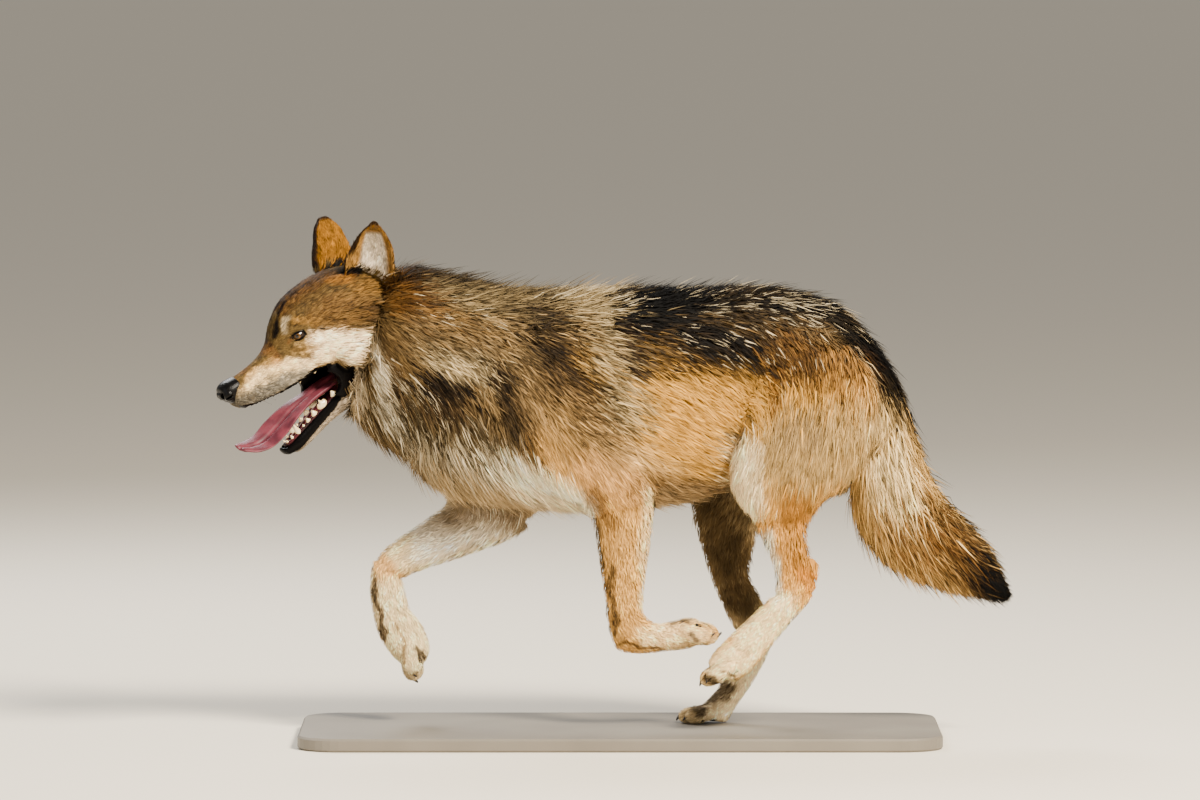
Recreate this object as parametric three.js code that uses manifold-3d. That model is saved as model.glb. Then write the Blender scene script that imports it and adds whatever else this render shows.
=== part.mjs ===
// A life-size Mexican wolf in mid-stride on a flat museum base, in millimetres.
// +Z is up, the nose points to -X and the wolf's left side to -Y.
// The origin is the centre of the base's underside.
// Every part of the body is a loft: a closed tube through sections, each given by the two
// points where it meets the side outline, how far its centre lies to the side, and its half width.
import * as THREE from "three";
import { mergeVertices } from "three/addons/utils/BufferGeometryUtils.js";
import Module from "manifold-3d";

const wasm = await Module();
wasm.setup();

// ---- Driving dimensions ----
const gap = 0.3; // clearance between touching parts
const base = { length: 960, width: 400, thickness: 20, corner: 60, bevel: 3 };
// Degrees: the nose is down and turned to the left.
const headPose = { at: [-435, -15, 593], roll: 10, pitch: -24, yaw: 25 };
const jawPose = { at: [52, 0, -49], drop: -24 }; // in the head's frame, at the jaw hinge
const tonguePose = { at: [0, 9, 2], tilt: 15 }; // in the jaw's frame, left edge hanging lower
const eye = { radius: 11.5, x: -53, y: 31.5, z: 41 };
const ears = {
  left: { side: -1, x: 74, y: 50, z: 72, lean: 15, splay: 20, turn: 33 },
  right: { side: 1, x: 70, y: 50, z: 77, lean: 14, splay: 20, turn: 16 },
};
const claw = { length: 12, radius: 2.6, clear: 1.3 };
const gum = { radius: 3.4, bury: 1.2 }; // the gum's rail, and how far the teeth's feet are sunk in it

// ---- Materials ----
const finish = (colour, roughness) =>
  new THREE.MeshStandardMaterial({ color: colour, roughness, metalness: 0 });
const fur = finish("#a5855c", 0.9);
const paleFur = finish("#d9c6a6", 0.9);
const legFur = finish("#d3ab78", 0.9);
const leather = finish("#17140f", 0.45);
const iris = finish("#b07f2c", 0.1);
const enamel = finish("#e9dcc0", 0.3);
const tongueSkin = finish("#b4566a", 0.4);
const horn = finish("#2b2520", 0.5);
const wood = finish("#8a8378", 0.7);

// ---- Turning geometry into solids and back ----
const radians = THREE.MathUtils.degToRad;

function solidFrom(geometry) {
  const bare = geometry.clone();
  bare.deleteAttribute("normal");
  bare.deleteAttribute("uv");
  const merged = mergeVertices(bare, 1e-3);
  const triVerts = new Uint32Array(merged.index.array);
  const vertProperties = new Float32Array(merged.attributes.position.array);
  const make = () => new wasm.Manifold(new wasm.Mesh({ numProp: 3, vertProperties, triVerts }));
  const solid = make();
  if (solid.volume() > 0) return solid;
  for (let i = 0; i < triVerts.length; i += 3) {
    [triVerts[i + 1], triVerts[i + 2]] = [triVerts[i + 2], triVerts[i + 1]];
  }
  return make();
}

function geometryFrom(solid) {
  const made = solid.getMesh();
  const geometry = new THREE.BufferGeometry();
  geometry.setAttribute("position", new THREE.BufferAttribute(made.vertProperties, 3));
  geometry.setIndex(new THREE.BufferAttribute(made.triVerts, 1));
  geometry.computeVertexNormals();
  return geometry;
}

// The biggest body of a solid, without the crumbs that a cut may leave.
function whole(solid) {
  return solid.decompose().sort((a, b) => b.volume() - a.volume())[0];
}

const without = (solid, ...others) => whole(others.reduce((left, cut) => left.subtract(cut), solid));
const joined = (...solids) => solids.reduce((all, one) => all.add(one));
const placed = (geometry, matrix) => geometry.clone().applyMatrix4(matrix);

function place(group, name, solid, material) {
  const mesh = new THREE.Mesh(geometryFrom(solid), material);
  mesh.name = name;
  group.add(mesh);
  return mesh;
}

// ---- The loft ----
// A section row is [x1, z1, x2, z2, y, halfWidth]. `square` is 1 for an ellipse and less for a boxier
// section, `cap` the length of each rounded end, and `grow` an even swelling of the whole tube.
function loft(rows, { sides = 16, steps = 2, square = 1, caps = [8, 8], grow = 0 } = {}) {
  const first = new THREE.CatmullRomCurve3(rows.map(([x, z, , , y]) => new THREE.Vector3(x, y, z)));
  const second = new THREE.CatmullRomCurve3(rows.map(([, , x, z, y]) => new THREE.Vector3(x, y, z)));
  const widths = new THREE.CatmullRomCurve3(rows.map((row, i) => new THREE.Vector3(i, row[5], 0)));
  const count = (rows.length - 1) * steps;
  const sections = [];
  for (let i = 0; i <= count; i++) {
    const a = first.getPoint(i / count);
    const b = second.getPoint(i / count);
    sections.push({
      middle: a.clone().add(b).multiplyScalar(0.5),
      reach: a.clone().sub(b).multiplyScalar(0.5),
      width: widths.getPoint(i / count).y + grow,
    });
  }
  for (const section of sections) section.reach.setLength(section.reach.length() + grow);

  const sideways = new THREE.Vector3(0, 1, 0);
  const positions = [];
  const power = (value) => Math.sign(value) * Math.abs(value) ** square;
  const ring = ({ middle, reach, width }, scale, shift) => {
    for (let k = 0; k < sides; k++) {
      const angle = (2 * Math.PI * k) / sides;
      const point = middle
        .clone()
        .add(shift)
        .addScaledVector(reach, scale * power(Math.sin(angle)))
        .addScaledVector(sideways, scale * width * power(Math.cos(angle)));
      positions.push(point.x, point.y, point.z);
    }
  };
  const outward = (end, next) => end.middle.clone().sub(next.middle).normalize();
  const startWay = outward(sections[0], sections[1]);
  const endWay = outward(sections[count], sections[count - 1]);
  const capSteps = [60, 30]; // degrees round each rounded end, from its pole
  const capShift = (way, cap, angle) => way.clone().multiplyScalar((cap + grow) * Math.sin(angle));
  for (const degrees of capSteps) {
    const angle = radians(degrees);
    ring(sections[0], Math.cos(angle), capShift(startWay, caps[0], angle));
  }
  for (const section of sections) ring(section, 1, new THREE.Vector3());
  for (const degrees of [...capSteps].reverse()) {
    const angle = radians(degrees);
    ring(sections[count], Math.cos(angle), capShift(endWay, caps[1], angle));
  }
  const rings = positions.length / 3 / sides;
  const startPole = sections[0].middle.clone().add(capShift(startWay, caps[0], Math.PI / 2));
  const endPole = sections[count].middle.clone().add(capShift(endWay, caps[1], Math.PI / 2));
  positions.push(...startPole.toArray(), ...endPole.toArray());

  const faces = [];
  const pole = rings * sides;
  for (let k = 0; k < sides; k++) {
    const next = (k + 1) % sides;
    faces.push(pole, next, k);
    faces.push(pole + 1, (rings - 1) * sides + k, (rings - 1) * sides + next);
    for (let r = 0; r < rings - 1; r++) {
      const [a, b, c, d] = [r * sides + k, r * sides + next, (r + 1) * sides + k, (r + 1) * sides + next];
      faces.push(a, b, d, a, d, c);
    }
  }
  const geometry = new THREE.BufferGeometry();
  geometry.setAttribute("position", new THREE.Float32BufferAttribute(positions, 3));
  geometry.setIndex(faces);
  return solidFrom(geometry);
}

// A loft and the same loft swollen by the gap, which cuts its neighbours clear.
function limb(rows, options = {}) {
  return { solid: loft(rows, options), clear: loft(rows, { ...options, grow: 2 * gap }) };
}

function ball([x, y, z], [rx, ry, rz], { turn = 0, grow = 0, sides = 8, rings = 6 } = {}) {
  const matrix = new THREE.Matrix4()
    .makeTranslation(x, y, z)
    .multiply(new THREE.Matrix4().makeRotationY(radians(turn)))
    .multiply(new THREE.Matrix4().makeScale(rx + grow, ry + grow, rz + grow));
  return solidFrom(placed(new THREE.SphereGeometry(1, sides, rings), matrix));
}

// ---- Trunk, neck and tail ----
const trunkRows = [
  [-282, 616, -300, 440, 0, 50],
  [-248, 664, -294, 400, 0, 78],
  [-195, 686, -258, 367, 0, 98],
  [-135, 684, -165, 353, 0, 108],
  [-75, 683, -87, 343, 0, 113],
  [-15, 686, -15, 341, 0, 114],
  [60, 684, 60, 350, 0, 110],
  [135, 684, 120, 362, 0, 100],
  [202, 686, 172, 390, 0, 92],
  [270, 677, 232, 413, 0, 92],
  [330, 653, 292, 418, 0, 88],
  [380, 598, 342, 420, 0, 72],
  [412, 546, 382, 430, 0, 46],
];
const neckRows = [
  [-370, 640, -404, 500, -10, 50],
  [-352, 692, -390, 474, -8, 72],
  [-305, 715, -360, 448, -4, 90],
  [-255, 702, -315, 422, 0, 98],
  [-202, 689, -262, 396, 0, 102],
  [-150, 680, -195, 386, 0, 98],
];
const tailRows = [
  [372, 596, 350, 500, 0, 34],
  [428, 528, 352, 440, 0, 37],
  [442, 470, 344, 372, 0, 40],
  [460, 418, 356, 316, 0, 41],
  [492, 372, 394, 262, 0, 40],
  [532, 335, 450, 232, 0, 36],
  [562, 293, 512, 213, 0, 28],
  [584, 252, 556, 207, 0, 17],
  [593, 224, 582, 206, 0, 8],
];
const trunk = limb(trunkRows, { sides: 20, steps: 1, square: 0.94, caps: [30, 16] });
const neck = limb(neckRows, { sides: 16, steps: 1, caps: [20, 20] });
const tail = limb(tailRows, { sides: 12, steps: 1, caps: [10, 10] });

// ---- Legs ----
// Rows run down the leg, front edge first. `y` and the paws come in towards the line of travel.
const foreLeft = {
  upper: [
    [-172, 593, -68, 623, -84, 20],
    [-202, 518, -30, 548, -88, 30],
    [-184, 450, 8, 473, -86, 36],
    [-112, 390, 36, 428, -80, 35],
    [-52, 362, 46, 390, -74, 30],
  ],
  lower: [
    [-57, 362, 48, 400, -74, 28],
    [-42, 330, 50, 348, -70, 25],
    [-34, 286, 45, 293, -65, 22],
    [-27, 240, 38, 244, -60, 19],
    [-21, 196, 35, 203, -57, 17.5],
    [-18, 168, 37, 186, -55, 18.5],
  ],
  paw: [
    [-15, 158, 36, 194, -55, 18],
    [-3, 138, 45, 184, -53, 18],
    [32, 133, 58, 179, -49, 17],
    [70, 136, 76, 182, -45, 19],
    [98, 139, 98, 187, -42, 23],
    [112, 143, 114, 186, -41, 24],
  ],
  toes: { at: [120, -41, 163], along: [1, 0, -0.12], across: 13, size: [22, 9.5, 18], claws: [1, -0.2] },
};
const foreRight = {
  upper: [
    [-222, 520, -90, 520, 78, 26],
    [-248, 446, -76, 436, 82, 32],
    [-262, 384, -100, 372, 78, 32],
    [-258, 352, -142, 326, 74, 30],
  ],
  lower: [
    [-240, 372, -136, 312, 74, 28],
    [-256, 352, -172, 292, 70, 26],
    [-285, 333, -213, 277, 64, 23],
    [-315, 312, -255, 263, 58, 20.5],
    [-342, 294, -292, 252, 53, 18.5],
    [-362, 276, -323, 240, 50, 18.5],
  ],
  paw: [
    [-374, 264, -328, 234, 50, 18],
    [-378, 226, -323, 218, 48, 17.5],
    [-374, 188, -316, 192, 46, 17],
    [-364, 152, -298, 168, 45, 20],
    [-347, 125, -286, 137, 44, 23],
    [-334, 113, -290, 118, 44, 23],
  ],
  toes: { at: [-313, 44, 110], along: [0.12, 0, -1], across: 13, size: [20, 9.5, 18], claws: [-0.3, -1] },
};
const hindLeft = {
  upper: [
    [232, 606, 360, 592, -66, 28],
    [197, 533, 388, 533, -77, 36],
    [172, 458, 380, 466, -81, 40],
    [162, 400, 358, 410, -81, 37],
    [178, 360, 296, 366, -78, 32],
  ],
  lower: [
    [184, 372, 312, 388, -78, 30],
    [206, 316, 281, 328, -73, 24],
    [224, 278, 284, 288, -68, 18],
    [231, 248, 290, 262, -67, 15.5],
    [231, 226, 296, 240, -68, 15.5],
  ],
  paw: [
    [223, 218, 291, 222, -69, 15.5],
    [188, 185, 254, 180, -74, 14],
    [158, 158, 220, 138, -80, 15],
    [139, 138, 196, 110, -84, 19],
    [131, 126, 176, 96, -86, 21],
  ],
  toes: { at: [143, -86, 106], along: [-1, 0, -0.5], across: 12.5, size: [20, 9.2, 15], claws: [-1, -0.6] },
};
const hindRight = {
  upper: [
    [232, 596, 360, 596, 66, 28],
    [182, 526, 372, 526, 77, 36],
    [126, 450, 366, 458, 81, 40],
    [106, 384, 352, 376, 79, 36],
  ],
  lower: [
    [104, 368, 310, 366, 79, 33],
    [110, 326, 222, 318, 75, 28],
    [122, 286, 207, 286, 69, 22],
    [135, 240, 197, 245, 62, 17],
    [153, 198, 217, 204, 56, 15.5],
    [170, 164, 234, 176, 53, 15.5],
  ],
  paw: [
    [174, 146, 234, 160, 52, 15],
    [162, 102, 222, 120, 47, 14],
    [146, 70, 200, 80, 43, 15],
    [125, 48, 176, 45, 41, 19],
    [114, 42, 164, 24, 40, 21],
  ],
  toes: { at: [114, 40, 32.5], along: [-1, 0, -0.1], across: 12.5, size: [20, 9.2, 13.5], claws: [-1, -0.4] },
};

// Four toes side by side, the middle pair longer, as balls on the end of the paw. Each ends in a claw.
function toesOf({ at: [x, y, z], along: [ax, , az], across, size, claws: [cx, cz] }) {
  const pitch = THREE.MathUtils.radToDeg(Math.atan2(-az, ax));
  const length = Math.hypot(ax, az);
  const clawLength = Math.hypot(cx, cz);
  return [-1.5, -0.5, 0.5, 1.5].map((slot) => {
    const lead = Math.abs(slot) < 1 ? 7 : -3;
    const centre = [x + (lead * ax) / length, y + slot * across, z + (lead * az) / length];
    const reach = size[0] + claw.clear;
    const tip = [centre[0] + (reach * ax) / length, centre[1], centre[2] + (reach * az) / length];
    return { centre, size, pitch, tip, way: [cx / clawLength, 0, cz / clawLength] };
  });
}

// A claw is a short curved cone that leaves the toe's end.
function clawOf({ tip, way }) {
  const matrix = new THREE.Matrix4()
    .makeTranslation(...tip)
    .multiply(
      new THREE.Matrix4().makeRotationFromQuaternion(
        new THREE.Quaternion().setFromUnitVectors(new THREE.Vector3(0, 1, 0), new THREE.Vector3(...way)),
      ),
    );
  const cone = new THREE.ConeGeometry(claw.radius, claw.length, 5, 1);
  cone.translate(0, claw.length * 0.5, 0);
  return solidFrom(placed(cone, matrix));
}

function leg(name, group, { upper, lower, paw, toes }, solidsBefore, floorCut) {
  const top = limb(upper, { sides: 12, steps: 1, caps: [14, 12] });
  const shank = limb(lower, { sides: 8, steps: 1, caps: [10, 10] });
  const foot = loft(paw, { sides: 8, steps: 1, caps: [10, 8] });
  const toeList = toesOf(toes);
  const toeShape = { sides: 6, rings: 4 };
  const toeBalls = toeList.map(({ centre, size, pitch }) => ball(centre, size, { turn: pitch, ...toeShape }));
  const claws = toeList.map((toe) => clawOf(toe));
  const pawSolid = without(joined(foot, ...toeBalls), shank.clear, ...floorCut);
  place(group, `${name}_upper`, without(top.solid, ...solidsBefore), legFur);
  place(group, `${name}_lower`, without(shank.solid, top.clear, ...solidsBefore), legFur);
  place(group, `${name}_paw`, pawSolid, paleFur);
  claws.forEach((solid, i) => place(group, `${name}_claw_${i + 1}`, without(solid, ...floorCut), horn));
  return top.clear;
}

// ---- Head, in its own frame: nose to -X, level muzzle ----
const headRows = [
  [-180, 15, -176, -24, 0, 20],
  [-165, 18, -161, -31, 0, 25],
  [-136, 24, -134, -35, 0, 28],
  [-109, 33, -107, -33, 0, 30],
  [-88, 48, -84, -33, 0, 33],
  [-67, 72, -61, -31, 0, 40],
  [-39, 91, -37, -28, 0, 51],
  [0, 106, 0, -36, 0, 66],
  [37, 112, 37, -54, 0, 78],
  [71, 106, 69, -62, 0, 76],
  [103, 84, 97, -52, 0, 58],
];
const noseRows = [
  [-193.5, 5, -191.5, -6, 0, 10],
  [-190.5, 13, -187, -12, 0, 16],
  [-181, 18, -177, -15, 0, 20],
  [-167, 19, -164, -7, 0, 18],
];
const nostril = { at: [-190.5, 9.5, 1], size: [7, 4, 4.5] };
const palateRows = [
  [-161, -13, -161, -60, 0, 14],
  [-134, -12, -132, -60, 0, 21],
  [-105, -12, -103, -60, 0, 24],
  [-73, -11, -69, -60, 0, 28],
  [-38, -11, -36, -60, 0, 34],
  [-6, -18, -4, -60, 0, 38],
];
const browBall = { at: [-50, 25, 56], size: [24, 15, 12] };
const cheekBall = { at: [36, 50, -12], size: [46, 34, 46] };
const jawRows = [
  [-21, 24, -21, -26, 0, 42],
  [-63, 25, -63, -22, 0, 36],
  [-100, 23, -100, -13, 0, 28],
  [-136, 21, -136, -11, 0, 23],
  [-170, 20, -170, -8, 0, 20],
  [-191, 19, -189, -1, 0, 15],
];
const troughRows = [
  [-42, 50, -42, 9, 0, 30],
  [-84, 50, -84, 9, 0, 26],
  [-126, 50, -126, 9, 0, 20.5],
  [-168, 50, -168, 9, 0, 16],
  [-189, 50, -189, 10, 0, 13],
];
const tongueRows = [
  [-69, 33, -69, 22, 0, 13],
  [-107, 42, -107, 31, 0, 14],
  [-141, 48, -141, 38, 0, 18],
  [-173, 48, -173, 39, 0, 22],
  [-205, 50, -205, 42.5, 0, 20],
  [-225, 61, -228, 54.5, 0, 16],
  [-236, 72, -240, 67, 0, 10],
];
const earWall = 4;
const earRows = [
  [-39, -26, 36, -26, 0, 25],
  [-40, 4, 39, 4, 0, 25],
  [-38, 32, 38, 30, 0, 22],
  [-31, 58, 34, 57, 0, 18],
  [-20, 79, 25, 79, 0, 13],
  [-8, 93, 13, 94, 0, 8],
];

// A gum arch round the jaw: [front, back, half width at the front and back, level].
function archCurve([front, back, halfFront, halfBack, level]) {
  const halfMiddle = (halfFront + halfBack) / 2 - 1;
  const half = [
    [back, halfBack],
    [(front + back) / 2, halfMiddle],
    [front + 12, halfFront],
  ];
  const left = half.map(([x, y]) => new THREE.Vector3(x, -y, level));
  const right = half.map(([x, y]) => new THREE.Vector3(x, y, level)).reverse();
  return new THREE.CatmullRomCurve3([...left, new THREE.Vector3(front, 0, level), ...right]);
}

function gumRail({ arch }, grow = 0) {
  const section = new THREE.Shape();
  section.absellipse(0, 0, gum.radius + grow, gum.radius + grow, 0, 2 * Math.PI);
  const extrudePath = archCurve(arch);
  return solidFrom(new THREE.ExtrudeGeometry(section, { steps: 8, curveSegments: 2, extrudePath }));
}

// The gum with its teeth: small incisors, a canine, then cheek teeth that grow backwards.
function teethRow(row) {
  const { arch, rise, lengths, grow = 0 } = row;
  const curve = archCurve(arch);
  const teeth = [];
  for (const { at, length, wide, deep } of lengths) {
    for (const t of [at, 1 - at]) {
      const point = curve.getPointAt(t);
      const along = curve.getTangentAt(t);
      const cone = new THREE.ConeGeometry(1, 1, 4, 1);
      cone.translate(0, 0.5, 0);
      cone.rotateX((rise * Math.PI) / 2);
      cone.scale(wide + grow, deep + grow, length + grow);
      cone.rotateZ(Math.atan2(along.y, along.x));
      cone.translate(point.x, point.y, point.z + rise * gum.bury);
      teeth.push(solidFrom(cone));
    }
  }
  return joined(gumRail(row, grow), ...teeth);
}
const toothSizes = [
  { at: 0.475, length: 8, wide: 2.4, deep: 2 },
  { at: 0.435, length: 8.5, wide: 2.6, deep: 2.2 },
  { at: 0.385, length: 18, wide: 4.2, deep: 3.4 },
  { at: 0.315, length: 8.5, wide: 4.2, deep: 2.3 },
  { at: 0.245, length: 10, wide: 5.2, deep: 2.6 },
  { at: 0.16, length: 14, wide: 7.6, deep: 3.2 },
  { at: 0.075, length: 9, wide: 6, deep: 3.2 },
];

// An ear is a tall cone cut open at the front and hollowed, so that it is a cup with a thin wall.
function earOf({ side, x, y, z, lean, splay, turn }) {
  const options = { sides: 14, steps: 1, caps: [4, 5] };
  const outer = loft(earRows, options);
  const innerRows = earRows
    .slice(0, -1)
    .map(([x1, z1, x2, z2, middle, w]) => [x1 + earWall, z1, x2 - earWall, z2, middle, w - earWall]);
  const inner = loft(innerRows, { ...options, caps: [30, 6] });
  const front = new THREE.BoxGeometry(200, 100, 300);
  front.translate(0, -50, 50);
  const cup = outer.subtract(inner).subtract(solidFrom(front));
  const matrix = new THREE.Matrix4()
    .makeTranslation(x, side * y, z)
    .multiply(new THREE.Matrix4().makeRotationX(radians(side * -splay)))
    .multiply(new THREE.Matrix4().makeRotationY(radians(lean)))
    .multiply(new THREE.Matrix4().makeRotationZ(radians(side * turn)))
    .multiply(new THREE.Matrix4().makeScale(1, -side, 1));
  return solidFrom(placed(geometryFrom(cup), matrix));
}

// ---- Assembly ----
const wolf = new THREE.Group();
const headGroup = new THREE.Group();
headGroup.position.set(...headPose.at);
headGroup.rotation.set(radians(headPose.roll), radians(headPose.pitch), radians(headPose.yaw), "YZX");
const jawGroup = new THREE.Group();
jawGroup.position.set(...jawPose.at);
jawGroup.rotation.y = radians(jawPose.drop);
const tongueGroup = new THREE.Group();
tongueGroup.position.set(...tonguePose.at);
tongueGroup.rotation.x = radians(tonguePose.tilt);
wolf.add(headGroup);
headGroup.add(jawGroup);
jawGroup.add(tongueGroup);
wolf.updateMatrixWorld(true);

// A solid moved from one group's frame to another's, to cut a neighbour there.
function moved(solid, from, to) {
  const matrix = to.matrixWorld.clone().invert().multiply(from.matrixWorld);
  return solidFrom(placed(geometryFrom(solid), matrix));
}

function buildHead() {
  const skull = limb(headRows, { sides: 16, steps: 1, square: 0.9, caps: [6, 24] });
  const nosePad = limb(noseRows, { sides: 12, steps: 1, caps: [3, 3] });
  const palate = loft(palateRows, { sides: 8, steps: 1, square: 0.7, caps: [4, 4] });
  const sides = [-1, 1];
  const onSide = (side, { at: [x, y, z] }) => [x, side * y, z];
  const lumps = (grow) =>
    sides.flatMap((side) => [
      ball(onSide(side, browBall), browBall.size, { grow, turn: 24, rings: 4 }),
      ball(onSide(side, cheekBall), cheekBall.size, { grow, rings: 4 }),
    ]);
  const headFull = joined(skull.solid, ...lumps(0));
  const headClear = joined(skull.clear, ...lumps(gap));
  const eyeAt = (side) => [eye.x, side * eye.y, eye.z];
  const eyeSize = [eye.radius, eye.radius, eye.radius];
  const sockets = sides.map((side) => ball(eyeAt(side), eyeSize, { grow: 2 * gap, sides: 9, rings: 7 }));
  const upperRow = { arch: [-164, -26, 9, 28, -14], rise: -1, lengths: toothSizes };
  const upperTeeth = teethRow(upperRow);
  const upperRoom = teethRow({ ...upperRow, grow: 2 * gap });
  const neckHere = moved(neck.clear, wolf, headGroup);
  const head = without(headFull, palate, nosePad.clear, ...sockets, neckHere, upperRoom);
  place(headGroup, "head", head, fur);
  const nostrils = sides.map((side) => ball(onSide(side, nostril), nostril.size, { sides: 5, rings: 4 }));
  place(headGroup, "nose", without(nosePad.solid, ...nostrils, upperRoom), leather);
  place(headGroup, "upper_teeth", whole(upperTeeth), enamel);
  sides.forEach((side, i) => {
    const label = ["left", "right"][i];
    place(headGroup, `eye_${label}`, ball(eyeAt(side), eyeSize, { sides: 9, rings: 7 }), iris);
    place(headGroup, `ear_${label}`, without(earOf(ears[label]), headClear, neckHere), fur);
  });

  const jaw = loft(jawRows, { sides: 12, steps: 1, square: 0.85, caps: [10, 8] });
  const trough = loft(troughRows, { sides: 8, steps: 1, square: 0.7, caps: [4, 4] });
  const lowerRow = { arch: [-185, -66, 9, 21, 12], rise: 1, lengths: toothSizes };
  const lowerTeeth = teethRow(lowerRow);
  const lowerRoom = teethRow({ ...lowerRow, grow: 2 * gap });
  const headThere = moved(headClear.subtract(palate), headGroup, jawGroup);
  const neckThere = moved(neck.clear, wolf, jawGroup);
  const lowerJaw = without(jaw, trough, lowerRoom, headThere, neckThere);
  place(jawGroup, "lower_jaw", lowerJaw, fur);
  place(jawGroup, "lower_teeth", without(lowerTeeth, headThere), enamel);
  const tongue = loft(tongueRows, { sides: 12, steps: 1, square: 0.9, caps: [4, 4] });
  const teethNear = moved(lowerRoom, jawGroup, tongueGroup);
  const jawNear = moved(lowerJaw, jawGroup, tongueGroup);
  const headNear = moved(headThere, jawGroup, tongueGroup);
  place(tongueGroup, "tongue", without(tongue, teethNear, jawNear, headNear), tongueSkin);
}

function buildBase() {
  const outline = new THREE.Shape();
  const [x, y, r] = [base.length / 2 - base.bevel, base.width / 2 - base.bevel, base.corner];
  outline.moveTo(-x + r, -y);
  outline.lineTo(x - r, -y).absarc(x - r, -y + r, r, -Math.PI / 2, 0, false);
  outline.lineTo(x, y - r).absarc(x - r, y - r, r, 0, Math.PI / 2, false);
  outline.lineTo(-x + r, y).absarc(-x + r, y - r, r, Math.PI / 2, Math.PI, false);
  outline.lineTo(-x, -y + r).absarc(-x + r, -y + r, r, Math.PI, 1.5 * Math.PI, false);
  const plate = new THREE.ExtrudeGeometry(outline, {
    depth: base.thickness - 2 * base.bevel,
    bevelThickness: base.bevel,
    bevelSize: base.bevel,
    bevelSegments: 1,
    curveSegments: 4,
  });
  plate.translate(0, 0, base.bevel);
  return solidFrom(plate);
}

const plate = buildBase();
place(wolf, "stand_base", plate, wood);
place(wolf, "trunk", trunk.solid, fur);
place(wolf, "neck", without(neck.solid, trunk.clear), fur);
buildHead();
const bodyClear = [trunk.clear, neck.clear];
const floorBox = new THREE.BoxGeometry(2000, 2000, 200);
floorBox.translate(0, 0, base.thickness + gap - 100);
const floorCut = [solidFrom(floorBox)];
const legTops = [
  leg("foreleg_left", wolf, foreLeft, bodyClear, floorCut),
  leg("foreleg_right", wolf, foreRight, bodyClear, floorCut),
  leg("hindleg_left", wolf, hindLeft, bodyClear, floorCut),
  leg("hindleg_right", wolf, hindRight, bodyClear, floorCut),
];
place(wolf, "tail", without(tail.solid, ...bodyClear, ...legTops), fur);

export default wolf;
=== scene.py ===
from math import cos, pi, radians, sin

import bmesh
import bpy
import numpy as np
from bpy.props import FloatProperty, FloatVectorProperty, IntProperty, PointerProperty
from mathutils import Matrix, Vector
from mathutils.bvhtree import BVHTree
from mathutils.kdtree import KDTree


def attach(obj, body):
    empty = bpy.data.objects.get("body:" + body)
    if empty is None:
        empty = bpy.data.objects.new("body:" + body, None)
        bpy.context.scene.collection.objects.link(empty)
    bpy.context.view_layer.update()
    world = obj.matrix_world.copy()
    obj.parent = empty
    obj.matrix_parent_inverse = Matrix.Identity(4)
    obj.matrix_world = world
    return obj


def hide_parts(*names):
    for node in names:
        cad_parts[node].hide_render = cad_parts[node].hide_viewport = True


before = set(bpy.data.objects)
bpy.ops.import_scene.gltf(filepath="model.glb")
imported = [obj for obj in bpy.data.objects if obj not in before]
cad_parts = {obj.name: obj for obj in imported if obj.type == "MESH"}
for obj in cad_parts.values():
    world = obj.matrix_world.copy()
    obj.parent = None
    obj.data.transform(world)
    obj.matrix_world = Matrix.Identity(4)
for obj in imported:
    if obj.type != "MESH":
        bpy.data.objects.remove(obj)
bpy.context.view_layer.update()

bl_info = {
    "name": "Mexican Wolf Museum Model",
    "version": (1, 0, 0),
    "blender": (4, 5, 0),
    "location": "View3D > Sidebar > Wolf",
    "description": "Builds the skin, coat and features of a life-size wolf around its solid model",
    "category": "Object",
}

# Lengths in the tables and functions below are in millimetres, in the solid model's own frame:
# the wolf faces -X, its left side is towards -Y and +Z is up. MM turns them to metres.
MM = 0.001
BODY = "root"

# ---- Places of the head's pieces, as the solid model sets them ----


def shift(x, y, z):
    """A move as a matrix."""
    return Matrix.Translation((x, y, z))


def turn(axis, degrees):
    """A turn about an axis as a matrix."""
    return Matrix.Rotation(radians(degrees), 4, axis)


HEAD = shift(-435, -15, 593) @ turn("Y", -24) @ turn("Z", 25) @ turn("X", 10)
JAW = HEAD @ shift(52, 0, -49) @ turn("Y", -24)
TONGUE = JAW @ shift(0, 9, 2) @ turn("X", 15)
EARS = {"left": (-1, 74, 50, 72, 15, 33), "right": (1, 70, 50, 77, 14, 16)}  # side, x, y, z, lean, turn
EYE = {"radius": 12, "x": -52.5, "y": 30, "z": 41}


def ear_place(name):
    """An ear's frame: +Z runs up the ear and -Y out of its opening."""
    side, x, y, z, lean, about = EARS[name]
    tilt = turn("X", side * -20) @ turn("Y", lean) @ turn("Z", side * about)
    return HEAD @ shift(x, side * y, z) @ tilt @ Matrix.Diagonal((1, -side, 1, 1))


def moved(points, matrix):
    """An array of points taken through a matrix."""
    m = np.array(matrix)
    return points @ m[:3, :3].T + m[:3, 3]


# ---- Tools for meshes ----


def only(obj):
    """Selects one object alone and makes it the active one."""
    bpy.ops.object.select_all(action="DESELECT")
    obj.select_set(True)
    bpy.context.view_layer.objects.active = obj


def coords(mesh):
    """A mesh's points in millimetres."""
    flat = np.empty(len(mesh.vertices) * 3)
    mesh.vertices.foreach_get("co", flat)
    return flat.reshape(-1, 3) / MM


def set_coords(mesh, points):
    """Moves a mesh's points to places in millimetres."""
    mesh.vertices.foreach_set("co", (points * MM).ravel())
    mesh.update()


def normals(mesh):
    """Each point's outward direction."""
    flat = np.empty(len(mesh.vertices) * 3)
    mesh.vertices.foreach_get("normal", flat)
    return flat.reshape(-1, 3)


def edges(mesh):
    """The two points of each edge."""
    flat = np.empty(len(mesh.edges) * 2, dtype=np.int32)
    mesh.edges.foreach_get("vertices", flat)
    return flat.reshape(-1, 2)


def unit(vectors):
    """Vectors scaled to length 1."""
    return vectors / np.maximum(np.linalg.norm(vectors, axis=-1, keepdims=True), 1e-9)


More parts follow.
